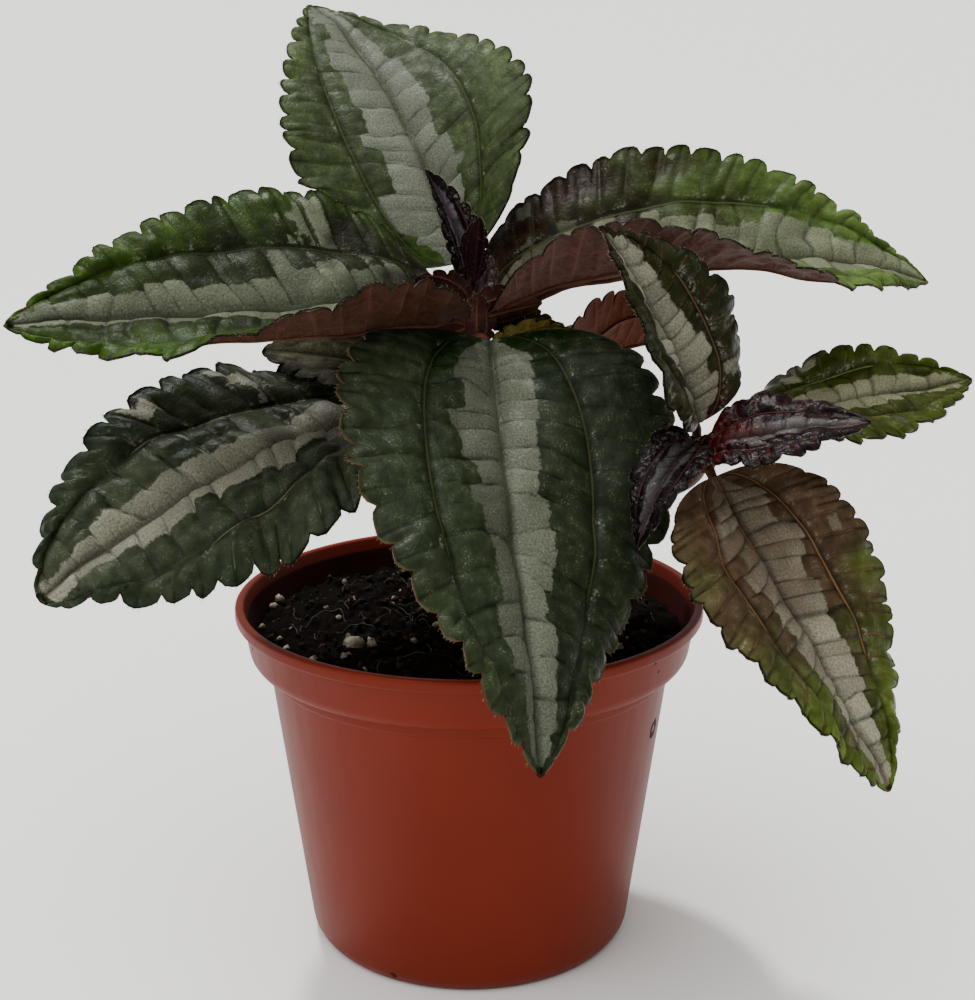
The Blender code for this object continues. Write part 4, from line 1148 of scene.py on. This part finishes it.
# %% Quilting
QUILT = 0.75                   # mm that a cell bulges
FULL_WIDTH = 44                # mm of width from which on a leaf has its whole relief
SLOW_NOISE = (8, 1.1)          # mm: size of the waves in a blade, and their height
FINE_NOISE = (2.6, 0.3)        # mm: size of the dents in a cell, and their depth
FURROW = (0.35, 1.1)           # mm: depth of the midrib's furrow, and its half width
RUFFLE = (0.35, 2.3)           # mm of height at the margin, and teeth to one wave
RIM_DROP = 0.2                 # mm that the outermost margin is bent down
SPLIT_DEPTH = 0.35             # share of its height that a split cell loses in the middle


def crease(step, power):
    """1 on a cell and 0 on the veins beside it: 1 - |2 step - 1| ^ power."""
    return 1 - np.abs(2 * step - 1) ** power


def add_lift(leaf, grid):
    """Add the height of the quilting in mm, and the two noises that it is made uneven by.

    A cell is a hump across the leaf times a crease between its veins, some of them split in two.
    Slow noise makes the leaf wavy, fine noise dents it, and the midrib lies in a furrow. A wave
    that grows with the cube of the share across ruffles the margin.
    """
    seed, half = leaf.look.seed, leaf.width / 2
    scale = min(1.0, leaf.width / FULL_WIDTH) * leaf.look.relief
    grown = smooth_step(0.0, 0.14, grid.vein_along) * smooth_step(0, 9, half * (grid.end_across + 0.02))
    hump = np.where(grid.inner, crease(grid.within, 3.0), crease(np.minimum(grid.outer, 0.9), 3.0))
    between = crease(grid.step, 5.0) * np.where(grid.outer > 0.5,
                                                0.7 + 0.3 * smooth_step(0, 1.2, grid.notch), 1)
    middle = (grid.within - 0.55) * half * 0.5 / 0.8
    split = 1 - SPLIT_DEPTH * (grid.random > 0.5) * np.exp(-middle ** 2) * grid.inner
    lift = QUILT * scale * grown * hump * (0.45 + 0.55 * between) * (0.65 + 0.6 * grid.random) * split
    x, y = grid.along * leaf.length, grid.side * grid.reach
    grid.wander = value_noise(x / SLOW_NOISE[0], y / SLOW_NOISE[0] + 40, seed + 5) - 0.5
    grid.dent = value_noise(x / FINE_NOISE[0], y / FINE_NOISE[0] + 40, seed + 6) - 0.5
    lift = lift + (grid.wander * SLOW_NOISE[1] + grid.dent * FINE_NOISE[1] * hump) * scale * grown
    lift = lift - FURROW[0] * scale * grown * np.exp(-(grid.reach / FURROW[1]) ** 2)
    ruffle = np.sin(2 * math.pi * grid.tooth / RUFFLE[1] + seed + 2 * grid.left) * grid.share ** 3
    grid.lift = lift + ruffle * RUFFLE[0] * scale * grown - RIM_DROP * scale * grown * grid.outer ** 6


add_lift(front_leaf, front_grid)
print("relief of leaf_front:", front_grid.lift.min().round(2), "to", front_grid.lift.max().round(2), "mm")

# %% [markdown]
# The silver is air under the skin, and it fills whole cells: the band is widest near the base and
# steps in and out at each cross vein. A few cells further out have a blot of it. What the shader
# gets is a distance to the band's edge in mm, because that can still be frayed by its noise.

# %% Silver band
BARE_EDGE = 1.2                # mm of margin without silver
FRAY = (1.3, 0.8)              # mm: size of the noise that frays the band's edge, and how far
BLOT_SIZE = 2.6                # mm
NARROWING = (0.75, 2.5)        # share that the band narrows to the tip, and power of that


def silver_depth(leaf, grid):
    """Mm inside the edge of the silver, below 0 outside it.

    The band's width times its taper times a random number for each cell, less the distance from
    the midrib; then the larger of that and the depth inside a blot.
    """
    look, half = leaf.look, leaf.width / 2
    x, y = grid.along * leaf.length, grid.side * grid.reach
    width = np.where(grid.left > 0, look.band_left, look.band_right) * half
    taper = (smooth_step(-0.06, 0.18, grid.vein_along)
             * (1 - NARROWING[0] * grid.vein_along ** NARROWING[1]))
    ragged = 0.75 + 0.5 * lattice_random(grid.cell, 7 + grid.left, look.seed)
    fine = value_noise(x / FRAY[0], y / FRAY[0] + 70, look.seed + 9) - 0.5
    silver = width * taper * ragged - grid.reach + fine * FRAY[1]
    chance = look.patches * (1 - smooth_step(0.4, 0.6, grid.vein_along))
    chosen = lattice_random(grid.cell, 20 + grid.band, look.seed + 2) < chance
    blot = value_noise(x / BLOT_SIZE, y / BLOT_SIZE + 10, look.seed + 3) - 0.55
    from_vein = np.minimum(grid.cross, np.abs(grid.reach - grid.vein_reach * half))
    silver = np.maximum(silver, np.where(chosen, np.minimum(blot * 5, from_vein - 0.5), -2.0))
    return np.where(grid.edge < BARE_EDGE, -1.0, silver)


front_silver = silver_depth(front_leaf, front_grid)
print("silver on leaf_front:", round(100 * float((front_silver > 0).mean())), "% of its points")

# %% [markdown]
# All numbers that the shaders read are gathered here. They sit on the points of the mesh, so the
# colours stay on their veins however the leaf is bent.

# %% Numbers for the shaders
FIELDS = ("rib", "vein", "branch", "silver", "cell", "heart", "margin", "edge")


def leaf_fields(leaf):
    """The grid of a leaf, and the numbers that its shaders read, as a dictionary of arrays.

    rib, vein, branch: mm to the nearest main vein, cross vein, branch to a tooth. silver: mm
    inside the band's edge. edge: mm to the margin. cell: a number for each cell, raised on the left
    half and lowered on the right by the look's painted light and shade. heart, margin: 0 to 1, how
    far these colours cover the body's.
    """
    look = leaf.look
    grid = flat_grid(leaf)
    add_cells(leaf, grid)
    add_lift(leaf, grid)
    faded = 4 * smooth_step(0.62, 0.85, grid.vein_along)
    lateral = np.abs(grid.reach - grid.vein_reach * (leaf.width / 2)) + faded
    branch = np.where(grid.inner, 9.0, grid.cross + 3 * smooth_step(0.75, 1, grid.outer))
    heart = 1 - smooth_step(look.heart_reach * 0.4, look.heart_reach * 1.1,
                            grid.vein_along + 0.25 * grid.share + 0.25 * (grid.dent + grid.wander))
    outward = grid.share * (0.8 - 0.5 * look.ripe) + (0.5 + 0.5 * look.ripe) * grid.vein_along
    margin = smooth_step(look.margin_start, 1.15, outward + 0.3 * grid.wander)
    # Painted light and shade: a cell's number is raised left of the midrib and lowered right of it, which
    # lightens the silver and darkens the body there
    cell = np.clip(grid.random + look.tilt * (grid.left - 0.5), 0, 1)
    return grid, {"rib": np.minimum(grid.reach, lateral), "vein": grid.cross, "branch": branch,
                  "silver": silver_depth(leaf, grid), "cell": cell, "heart": heart, "margin": margin,
                  "edge": grid.edge}


print("numbers at each point:", ", ".join(FIELDS))

# %% [markdown]
# ## Blades
#
# A leaf's blade is a thin closed sheet. Solidify would thicken a surface too, but then the skins
# couldn't have materials and numbers of their own. So the middle surface is moved by half its
# thickness both ways along its normals, and a strip closes the edge.

# %% Blade with two skins
BLADE = 0.42                   # mm, thickness
THIN_WIDTH = 30                # mm of width below which a blade is thinner
CHART_UNIT = 100.0             # mm of the flat leaf that are 1 in its chart


def surface_normals(points, faces):
    """Unit normals at points: the sum of the normals of the faces round each of them."""
    triangles = np.vstack([faces[:, (0, 1, 2)], faces[:, (0, 2, 3)]])
    a, b, c = (points[triangles[:, i]] for i in range(3))
    flat = np.cross(b - a, c - a)
    total = np.zeros_like(points)
    for i in range(3):
        np.add.at(total, triangles[:, i], flat)
    return total / (np.linalg.norm(total, axis=1)[:, None] + 1e-15)


def blade(leaf):
    """A blade with an upper and a lower skin, as named arrays.

    Both skins are middle + normal times half the thickness, up and down. The base and the tip are
    single points, so rows close on them like a fan.
    """
    grid, fields = leaf_fields(leaf)
    middle = blade_points(leaf, grid.along, grid.across, grid.side, grid.lift)
    rows, columns = middle.shape[:2]
    zero, one = np.zeros(1), np.ones(1)
    base = blade_points(leaf, zero, zero, one, zero)
    tip = blade_points(leaf, one, zero, one, zero)
    points = np.vstack([middle.reshape(-1, 3), base, tip])
    quads = grid_faces(rows, columns)[:, ::-1]
    foot, end = rows * columns, rows * columns + 1
    k = np.arange(columns - 1)
    low = np.column_stack([np.full(columns - 1, foot), k, k + 1])
    last = (rows - 1) * columns
    high = np.column_stack([last + k + 1, last + k, np.full(columns - 1, end)])
    fans = np.vstack([low, high])[:, ::-1]
    padded = np.vstack([quads, np.column_stack([fans, fans[:, 2]])])
    normals = surface_normals(points, padded)
    count = len(points)
    upper = quads.tolist() + fans.tolist()
    lower = (quads[:, ::-1] + count).tolist() + (fans[:, ::-1] + count).tolist()
    left = np.arange(rows) * columns
    loop = np.concatenate([[foot], left, [end], (left + columns - 1)[::-1]])
    onward = np.roll(loop, -1)
    rim = np.stack([loop, onward, onward + count, loop + count], axis=-1)
    thickness = BLADE / 2 * np.minimum(1.0, leaf.width / THIN_WIDTH)
    skins = np.vstack([points + normals * thickness, points - normals * thickness])
    kept = {}
    for key in FIELDS:
        ends = [fields[key][0].mean(), fields[key][-1].mean()]
        kept[key] = np.tile(np.concatenate([fields[key].ravel(), ends]), 2)
    chart = np.column_stack([grid.along.ravel() * leaf.length, (grid.reach * grid.side).ravel()])
    chart = np.vstack([chart, [(0, 0), (leaf.length, 0)]]) / CHART_UNIT
    return SimpleNamespace(
        skins=skins, faces=upper + lower + rim.tolist(), fields=kept, chart=np.vstack([chart, chart]),
        skin_of_face=[0] * len(upper) + [1] * len(lower) + [0] * len(rim), along=grid.along,
        middle=middle, normal=normals[:foot].reshape(middle.shape),
        under=skins[count:count + foot].reshape(middle.shape))


print("points in the blade of leaf_front:", len(blade(front_leaf).skins))

# %% [markdown]
# Under the blade the midrib and the two lateral veins stand out as round ribs, and the leaf stalk
# is the midrib carried on to the stem. All are tubes: a rib follows a column of the blade's grid,
# and the stalk leaves the stem square to it and bends over into the midrib.

# %% Ribs and stalk
STALK_SINK = 2.6               # mm along the midrib where the stalk meets it
STALK_FOOT = 1.25              # radius where it leaves the stem, for 1 after its bend
STALK_BEND = 1.4               # mm that it runs straight out before it bends
SHORT_STALK = 3                # mm up to which it needs no bend
RIB_THICK = 0.62               # radius of the midrib, as a share of the stalk's
LATERAL_THICK = 0.6            # radius of a lateral rib, as a share of the midrib's
RIB_SPAN = (0.03, 0.94)        # share of the length that has a rib


def stem_place(stem, height):
    """Axis point, direction and radius of a stem at a height."""
    route = np.array(stem)
    place = np.array([np.interp(height, route[:, 2], route[:, i]) for i in range(3)])
    above = np.array([np.interp(height + 1, route[:, 2], route[:, i]) for i in range(3)])
    way = (above - place) / np.linalg.norm(above - place)
    return place, way, float(np.interp(height, route[:, 2], route[:, 3]))


def rib_route(along, under, normal, thick):
    """Route of a rib under the blade: a column of its grid, moved down by half the rib's radius."""
    on = (along > RIB_SPAN[0]) & (along < RIB_SPAN[1])
    radius = thick * (1 - 0.8 * along[on])
    return np.column_stack([under[on] - normal[on] * radius[:, None] / 2, radius])


def stalk_route(leaf):
    """Route of the leaf stalk: out of the stem, square to it, and on into the midrib."""
    stem, height = leaf.stands
    along = np.array([0.0, STALK_SINK / leaf.length])
    foot, _ = blade_points(leaf, along, 0 * along, np.ones(2), 0 * along)
    if height is TOP:
        place, way, radius = stem_place(stem, stem[-1][2] - 1)
        start = place + way * (1 / way[2] + 0.2)
        out = (foot - start) / np.linalg.norm(foot - start)
    else:
        place, way, radius = stem_place(stem, height)
        out = foot - place
        out = out - way * out.dot(way)
        out = out / np.linalg.norm(out)
        start = place + out * radius * 0.7
    room = np.linalg.norm(foot - start)
    points = [(*start, leaf.stalk * STALK_FOOT)]
    if room > SHORT_STALK:
        bend = start + out * STALK_BEND
        middle = (bend + foot) / 2 + out * 0.08 * room
        points += [(*bend, leaf.stalk), (*middle, leaf.stalk * 0.9)]
    return points


def ribs_and_stalk(leaf, made):
    """Stalk with the midrib, and the two lateral ribs, as points and faces."""
    thick = leaf.stalk * RIB_THICK
    routes = [rib_route(made.along[:, k], made.under[:, k], made.normal[:, k], thick * size)
              for k, size in ((COLUMNS, 1.0), (COLUMNS // 2, LATERAL_THICK),
                              (COLUMNS + COLUMNS // 2, LATERAL_THICK))]
    midrib = routes[0]
    first = [tuple(midrib[k]) for k in (0, 2, 4)]
    whole = smooth_route(stalk_route(leaf) + first, 5)
    routes[0] = np.vstack([whole[:-1], midrib[4:]])
    return join([tube(route, 9) for route in routes])


print("stalk of leaf_front starts at", np.round(stalk_route(front_leaf)[0][:3], 1), "mm")

# %% [markdown]
# ## Leaf skins
#
# The upper skin of a silver tree leaf is a shiny cuticle over dark green to bronze tissue. In the
# silver band, air under the skin scatters light: it is grey, grainy and stops at a cross vein as
# if cut with scissors. The numbers on the mesh say where each colour goes, and noise in the shader
# breaks it up. A cuticle has an index of refraction near 1.45; its roughness is near 0.4, and
# fine pebbling makes the sheen sparkle. Real pebbles are cells of 0.1 mm, too fine to show, so
# they are drawn 0.7 mm wide, and the silver's grains 0.4 mm.
#
# Each layer of colour is told by a number that runs between two limits, so the limits stand in a
# table and one loop makes the nodes. Then the layers are laid over each other from the body up.

# %% Tables of the upper skin
# Of each: what it reads, the limits of that, and what it runs between there
UPPER_RANGES = {
    "body_mottle": ("mottle", (0.3, 0.7), (0.62, 1.38)),
    # A cell's own tone with the painted light and shade of one half: the body darker and the silver
    # lighter left of the midrib
    "body_cell_and_side_shade": ("cell", (0.0, 1.0), (1.2, 0.8)),
    "silver_cell_and_side_light": ("cell", (0.0, 1.0), (0.74, 1.26)),
    "silver_grain": ("grains", (0.32, 0.68), (0.55, 1.4)),
    "frayed": ("pebbles", (0.0, 1.0), (-0.7, 0.7)),
    # Pale flecks in clusters: calcium crystals of the skin, which also stand for the cuticle's sparkle as
    # painted highlight
    "lime_and_sparkle_cluster": ("mottle", (0.5, 0.68), (0.0, 1.0)),
    "lime_and_sparkle_grain": ("grains", (0.54, 0.66), (0.0, 0.42)),
    # Painted glints: pale spots in the colour where a branch meets a main vein, standing for highlights
    "glint_by_rib": ("rib", (0.6, 2.0), (1.0, 0.0)),
    "glint_by_branch": ("branch", (0.3, 1.3), (1.0, 0.0)),
    "glint_spark": ("pebbles", (0.48, 0.6), (0.0, 0.75)),
    "glint_cluster": ("mottle", (0.44, 0.56), (0.0, 1.0)),
    # Painted shade in the sunken veins: the colour is darkened at the cross veins and beside the main
    # veins
    "crease_shade_at_cross": ("vein", (0.05, 0.36), (0.4, 1.0)),
    "crease_shade_at_rib": ("rib", (0.25, 1.2), (0.36, 1.0)),
    "rib_line": ("rib", (0.08, 0.28), (0.75, 0.0)),
    "branch_line": ("branch", (0.04, 0.22), (0.5, 0.0)),
    "rim": ("edge", (0.1, 0.4), (0.85, 0.0)),
    "net": ("net", (0.0, 0.14), (0.0, 0.26)),
}
# Of each: numbers that are multiplied
UPPER_PRODUCTS = {
    "body_shade": ("body_mottle", "body_cell_and_side_shade"),
    "silver_shade": ("silver_grain", "silver_cell_and_side_light"),
    "lime_and_sparkle": ("lime_and_sparkle_grain", "lime_and_sparkle_cluster"),
    "glint": ("glint_by_rib", "glint_by_branch", "glint_spark", "glint_cluster"),
    "painted_crease_shade": ("crease_shade_at_cross", "crease_shade_at_rib"),
}
print("numbers that the upper skin makes:", len(UPPER_RANGES) + len(UPPER_PRODUCTS))

# %% Upper skin
# The pale of the calcium crystals, which also paint sparkle, and of the painted glints
PALE_LIME_AND_SPARKLE, PAINTED_GLINT = "86887a", "9c9e92"


def upper_skin(name, look):
    """Material of a leaf's upper side from its look.

    Each number is made by its table's row. A layer then covers what lies under it by its share,
    or is multiplied with it.
    """
    material, tree, shader = new_material(name, 0.4, 1.42, 0.08)
    chart = node(tree, "UVMap", uv_map="chart").outputs[0]
    at = {key: node(tree, "Attribute", attribute_name=key).outputs["Fac"] for key in FIELDS}
    for key, size, settings in (("pebbles", 0.6667, {"Detail": 4.0, "Roughness": 0.65}),
                                ("mottle", 2.5, {"Detail": 4.0}),
                                ("grains", 0.3846, {"Detail": 3.0, "Roughness": 0.7})):
        at[key] = node(tree, "TexNoise", {"Vector": chart, "Scale": grain(size, CHART_UNIT),
                                          **settings}).outputs["Fac"]
    at["net"] = node(tree, "TexVoronoi", {"Vector": chart, "Scale": grain(2.174, CHART_UNIT)},
                     feature="DISTANCE_TO_EDGE").outputs["Distance"]
    ranges = {**UPPER_RANGES, "bare": ("heart", (0.0, 1.0), (1.0, 1 - look.cover)),
              "gloss": ("mottle", (0.3, 0.7), (look.shine + 0.14, look.shine - 0.16))}
    sources = dict(at)
    for key, (source, (low, high), (start, stop)) in ranges.items():
        at[key] = node(tree, "MapRange", {"Value": sources[source], "From Min": low, "From Max": high,
                                          "To Min": start, "To Max": stop}).outputs[0]
    for key, (first, *others) in UPPER_PRODUCTS.items():
        at[key] = at[first]
        for other in others:
            at[key] = node(tree, "Math", {0: at[key], 1: at[other]}, operation="MULTIPLY").outputs[0]

    silver = node(tree, "Mix", {"Factor": 1.0, "A": linear(look.silver), "B": at["silver_shade"]},
                  data_type="RGBA", blend_type="MULTIPLY").outputs["Result"]
    inside = node(tree, "Math", {0: at["silver"], 1: at["frayed"]}, operation="ADD")
    mask = node(tree, "MapRange", {"Value": inside.outputs[0], "From Min": -0.12, "From Max": 0.2,
                                   "To Max": 0.92})
    mask = node(tree, "Math", {0: mask.outputs[0], 1: at["bare"]}, operation="MULTIPLY").outputs[0]
    veins = node(tree, "Math", {0: at["rib_line"], 1: at["branch_line"]}, operation="MAXIMUM")
    # Silver over the body; then pale flecks, calcium crystals in clusters that also stand for the
    # cuticle's sparkle as painted highlight; painted glints where veins meet; and painted shade in the
    # sunken veins, beside their pale line
    colour = linear(look.body)
    for blend, share, layer in (("MIX", at["margin"], linear(look.margin)),
                                ("MIX", at["heart"], linear(look.heart)),
                                ("MULTIPLY", 1.0, at["body_shade"]),
                                ("MIX", mask, silver),
                                ("MIX", at["lime_and_sparkle"], linear(PALE_LIME_AND_SPARKLE)),
                                ("MIX", at["glint"], linear(PAINTED_GLINT)),
                                ("MULTIPLY", 1.0, at["painted_crease_shade"]),
                                ("MIX", veins.outputs[0], linear(look.rib)),
                                ("MIX", at["rim"], linear(look.edge))):
        colour = node(tree, "Mix", {"Factor": share, "A": colour, "B": layer}, data_type="RGBA",
                      blend_type=blend).outputs["Result"]
    tree.links.new(colour, shader.inputs["Base Color"])
    tree.links.new(at["gloss"], shader.inputs["Roughness"])
    relief = node(tree, "Math", {0: sources["pebbles"], 1: at["net"]}, operation="ADD")
    fine = node(tree, "Bump", {"Height": relief.outputs[0], "Strength": 0.4, "Distance": 0.00035})
    tree.links.new(fine.outputs[0], shader.inputs["Normal"])
    return material


print("colours of lime and glints:", PALE_LIME_AND_SPARKLE, PAINTED_GLINT)

# %% [markdown]
# The underside has no silver. It is dull, red-brown and downy, with every vein raised and paler:
# the main and cross veins, and a net of finer ones with meshes of about 2 mm. Ribs and stalks are
# the same downy skin, in two close colours that run into each other.

# %% Under skin and rib skin
VEIN_LIGHTER = 2.0             # times the underside's own colour


def under_skin(name, look):
    """Material of a leaf's underside: its colour, with pale raised veins and a soft nap."""
    material, tree, shader = new_material(name, 0.62, 1.4, 0.12)
    rib = node(tree, "Attribute", attribute_name="rib").outputs["Fac"]
    vein = node(tree, "Attribute", attribute_name="vein").outputs["Fac"]
    chart = node(tree, "UVMap", uv_map="chart").outputs[0]
    mottle = node(tree, "TexNoise", {"Vector": chart, "Scale": grain(1.6667, CHART_UNIT), "Detail": 4.0})
    net = node(tree, "TexVoronoi", {"Vector": chart, "Scale": grain(2.381, CHART_UNIT)},
               feature="DISTANCE_TO_EDGE")
    nearest = node(tree, "Math", {0: rib, 1: vein}, operation="MINIMUM")
    lines = node(tree, "MapRange", {"Value": nearest.outputs[0], "From Min": 0.05, "From Max": 0.32,
                                    "To Min": 0.6, "To Max": 0.0})
    mesh_lines = node(tree, "MapRange", {"Value": net.outputs[0], "From Max": 0.07, "To Min": 0.42,
                                         "To Max": 0.0})
    pale = node(tree, "Math", {0: lines.outputs[0], 1: mesh_lines.outputs[0]}, operation="MAXIMUM")
    shade = node(tree, "MapRange", {"Value": mottle.outputs["Fac"], "From Min": 0.3, "From Max": 0.7,
                                    "To Min": 0.75, "To Max": 1.25})
    body = node(tree, "Mix", {"Factor": 1.0, "A": linear(look.under), "B": shade.outputs[0]},
                data_type="RGBA", blend_type="MULTIPLY")
    vein_colour = [VEIN_LIGHTER * value for value in linear(look.under)[:3]] + [1.0]
    skin = node(tree, "Mix", {"Factor": pale.outputs[0], "A": body.outputs["Result"],
                              "B": vein_colour}, data_type="RGBA")
    tree.links.new(skin.outputs["Result"], shader.inputs["Base Color"])
    raised = node(tree, "Bump", {"Height": pale.outputs[0], "Strength": 0.5, "Distance": 0.0004})
    tree.links.new(raised.outputs[0], shader.inputs["Normal"])
    return material


def rib_skin(name, dark, pale):
    """Material of ribs and stalks: two close colours that run into each other."""
    material, tree, shader = new_material(name, 0.55, 1.4, 0.15)
    tone, _ = two_tones(tree, node(tree, "TexCoord").outputs["Object"], 6.667, (dark, pale),
                        (0.35, 0.65), Detail=2.0)
    tree.links.new(tone, shader.inputs["Base Color"])
    return material


grown_ribs = rib_skin("downy_rib_skin", "44241a", "583824")
young_ribs = rib_skin("downy_young_rib_skin", "200b0e", "301416")
print("rib skins:", grown_ribs.name, young_ribs.name)

# %% [markdown]
# ## Hairs
#
# Margins, stalks and undersides carry short pale hairs, up to a millimetre long. They show where
# they stand against something dark or white. Blender's hair curves would be no mesh, so each hair
# is a thin three-sided spike, and all the hairs of a leaf are one piece that rides with it. A hair
# is a see-through thread of cellulose; it is too thin to look glassy, and reads as pale brown.

# %% Hairs
HAIR_RADIUS = 0.03             # mm
HAIR_LENGTH = (0.3, 0.95)      # mm, shorter on small leaves
MARGIN_HAIRS = (3.2, 50)       # to a mm of leaf, and on top of that
RIB_HAIRS = 1.6                # to a mm of leaf
hair_stuff, tree, shader = new_material("translucent_plant_hair", 0.5, 1.45)
shader.inputs["Base Color"].default_value = linear("8c7460")


def spikes(roots, ways, lengths, radius):
    """Three-sided spikes: a ring of three points round each root, and one at root + length way."""
    helper = np.where(np.abs(ways[:, 2:3]) < 0.8, [[0, 0, 1.0]], [[1.0, 0, 0]])
    side = np.cross(ways, helper)
    side /= np.linalg.norm(side, axis=1)[:, None]
    top = np.cross(ways, side)
    spin = np.arange(3) * 2 * math.pi / 3
    ring = roots[:, None] + radius * (np.cos(spin)[:, None] * side[:, None]
                                      + np.sin(spin)[:, None] * top[:, None])
    points = np.concatenate([ring, (roots + ways * lengths[:, None])[:, None]], axis=1)
    start = np.arange(len(roots))[:, None] * 4
    faces = np.concatenate([start + [[0, 1, 3]], start + [[1, 2, 3]], start + [[2, 0, 3]],
                            start + [[0, 2, 1]]])
    return points.reshape(-1, 3), faces.tolist()


def leaf_hairs(leaf, made, draw):
    """Hairs along both margins, out and forward, and down from the underside's ribs."""
    rows, columns = made.along.shape
    middle, normal = made.middle, made.normal
    roots, ways = [], []
    for column, inward in ((0, 1), (columns - 1, columns - 2)):
        pick = draw.integers(3, rows - 2, int(leaf.length * MARGIN_HAIRS[0]) + MARGIN_HAIRS[1])
        out = middle[pick, column] - middle[pick, inward]
        out /= np.linalg.norm(out, axis=1)[:, None]
        ahead = middle[pick + 1, column] - middle[pick - 1, column]
        ahead /= np.linalg.norm(ahead, axis=1)[:, None]
        roots.append(middle[pick, column] - out * 0.05)
        ways.append(out + 0.5 * ahead + draw.normal(0, 0.25, out.shape))
    for column in (columns // 2, columns // 4, columns - 1 - columns // 4):
        pick = draw.integers(2, int(rows * 0.8), int(leaf.length * RIB_HAIRS))
        beside = column + draw.integers(-2, 3, len(pick))
        roots.append(middle[pick, beside] - normal[pick, beside] * BLADE / 2)
        ways.append(-normal[pick, beside] + draw.normal(0, 0.4, (len(pick), 3)))
    roots, ways = np.vstack(roots), np.vstack(ways)
    ways /= np.linalg.norm(ways, axis=1)[:, None]
    lengths = draw.uniform(*HAIR_LENGTH, len(roots)) * min(1.0, leaf.width / 25 + 0.4)
    return spikes(roots, ways, lengths, HAIR_RADIUS)


print("margin hairs of leaf_front:", 2 * (int(front_leaf.length * MARGIN_HAIRS[0]) + MARGIN_HAIRS[1]))

# %% [markdown]
# ## Dressing the leaves
#
# Every leaf gets its blade, its ribs and its hairs. A grown leaf is one solid in the frame, and
# its dressed piece replaces that. The two youngest pairs are each one solid, because they are
# grown together in a bud, so each pair is one piece here too. The bud scales and the leaf behind
# are in no solid, so they replace nothing.

# %% All leaves
LOOK_SLOT = {record["node"]: record["material_slot"] for record in frame["record"]["subparts"]}
triangles = 0
for solid, group in ({leaf.name: [leaf] for leaf in LEAVES} | YOUNG | SCALES).items():
    draw = np.random.default_rng(group[0].look.seed)
    materials = [young_ribs if solid in YOUNG else grown_ribs]
    parts, skin_of_face, charts, hair_parts = [], [], [], []
    numbers = {key: [] for key in FIELDS}
    for leaf in group:
        made = blade(leaf)
        ribs, rib_faces = ribs_and_stalk(leaf, made)
        parts += [(made.skins, made.faces), (ribs, rib_faces)]
        skin_of_face += [len(materials) + number for number in made.skin_of_face] + [0] * len(rib_faces)
        materials += [upper_skin(leaf.name + "_cuticle", leaf.look),
                      under_skin(leaf.name + "_downy_underside", leaf.look)]
        for key, values in numbers.items():
            values += [made.fields[key], np.zeros(len(ribs))]
        charts += [made.chart, np.zeros((len(ribs), 2))]
        hair_parts.append(leaf_hairs(leaf, made, draw))
    points, faces = join(parts)
    piece = make_piece(solid + "_dressed", points, faces, materials, skin_of_face,
                       {key: np.concatenate(values) for key, values in numbers.items()},
                       np.vstack(charts))
    if solid in LOOK_SLOT:
        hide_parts(solid)
    hairs = make_piece(solid + "_hairs", *join(hair_parts), [hair_stuff])
    size = sum(len(face) - 2 for face in faces)
    triangles += size + len(hairs.data.polygons)
    print(solid, "triangles:", size, "hairs:", len(hairs.data.polygons) // 4)
print("leaf triangles in all:", triangles)
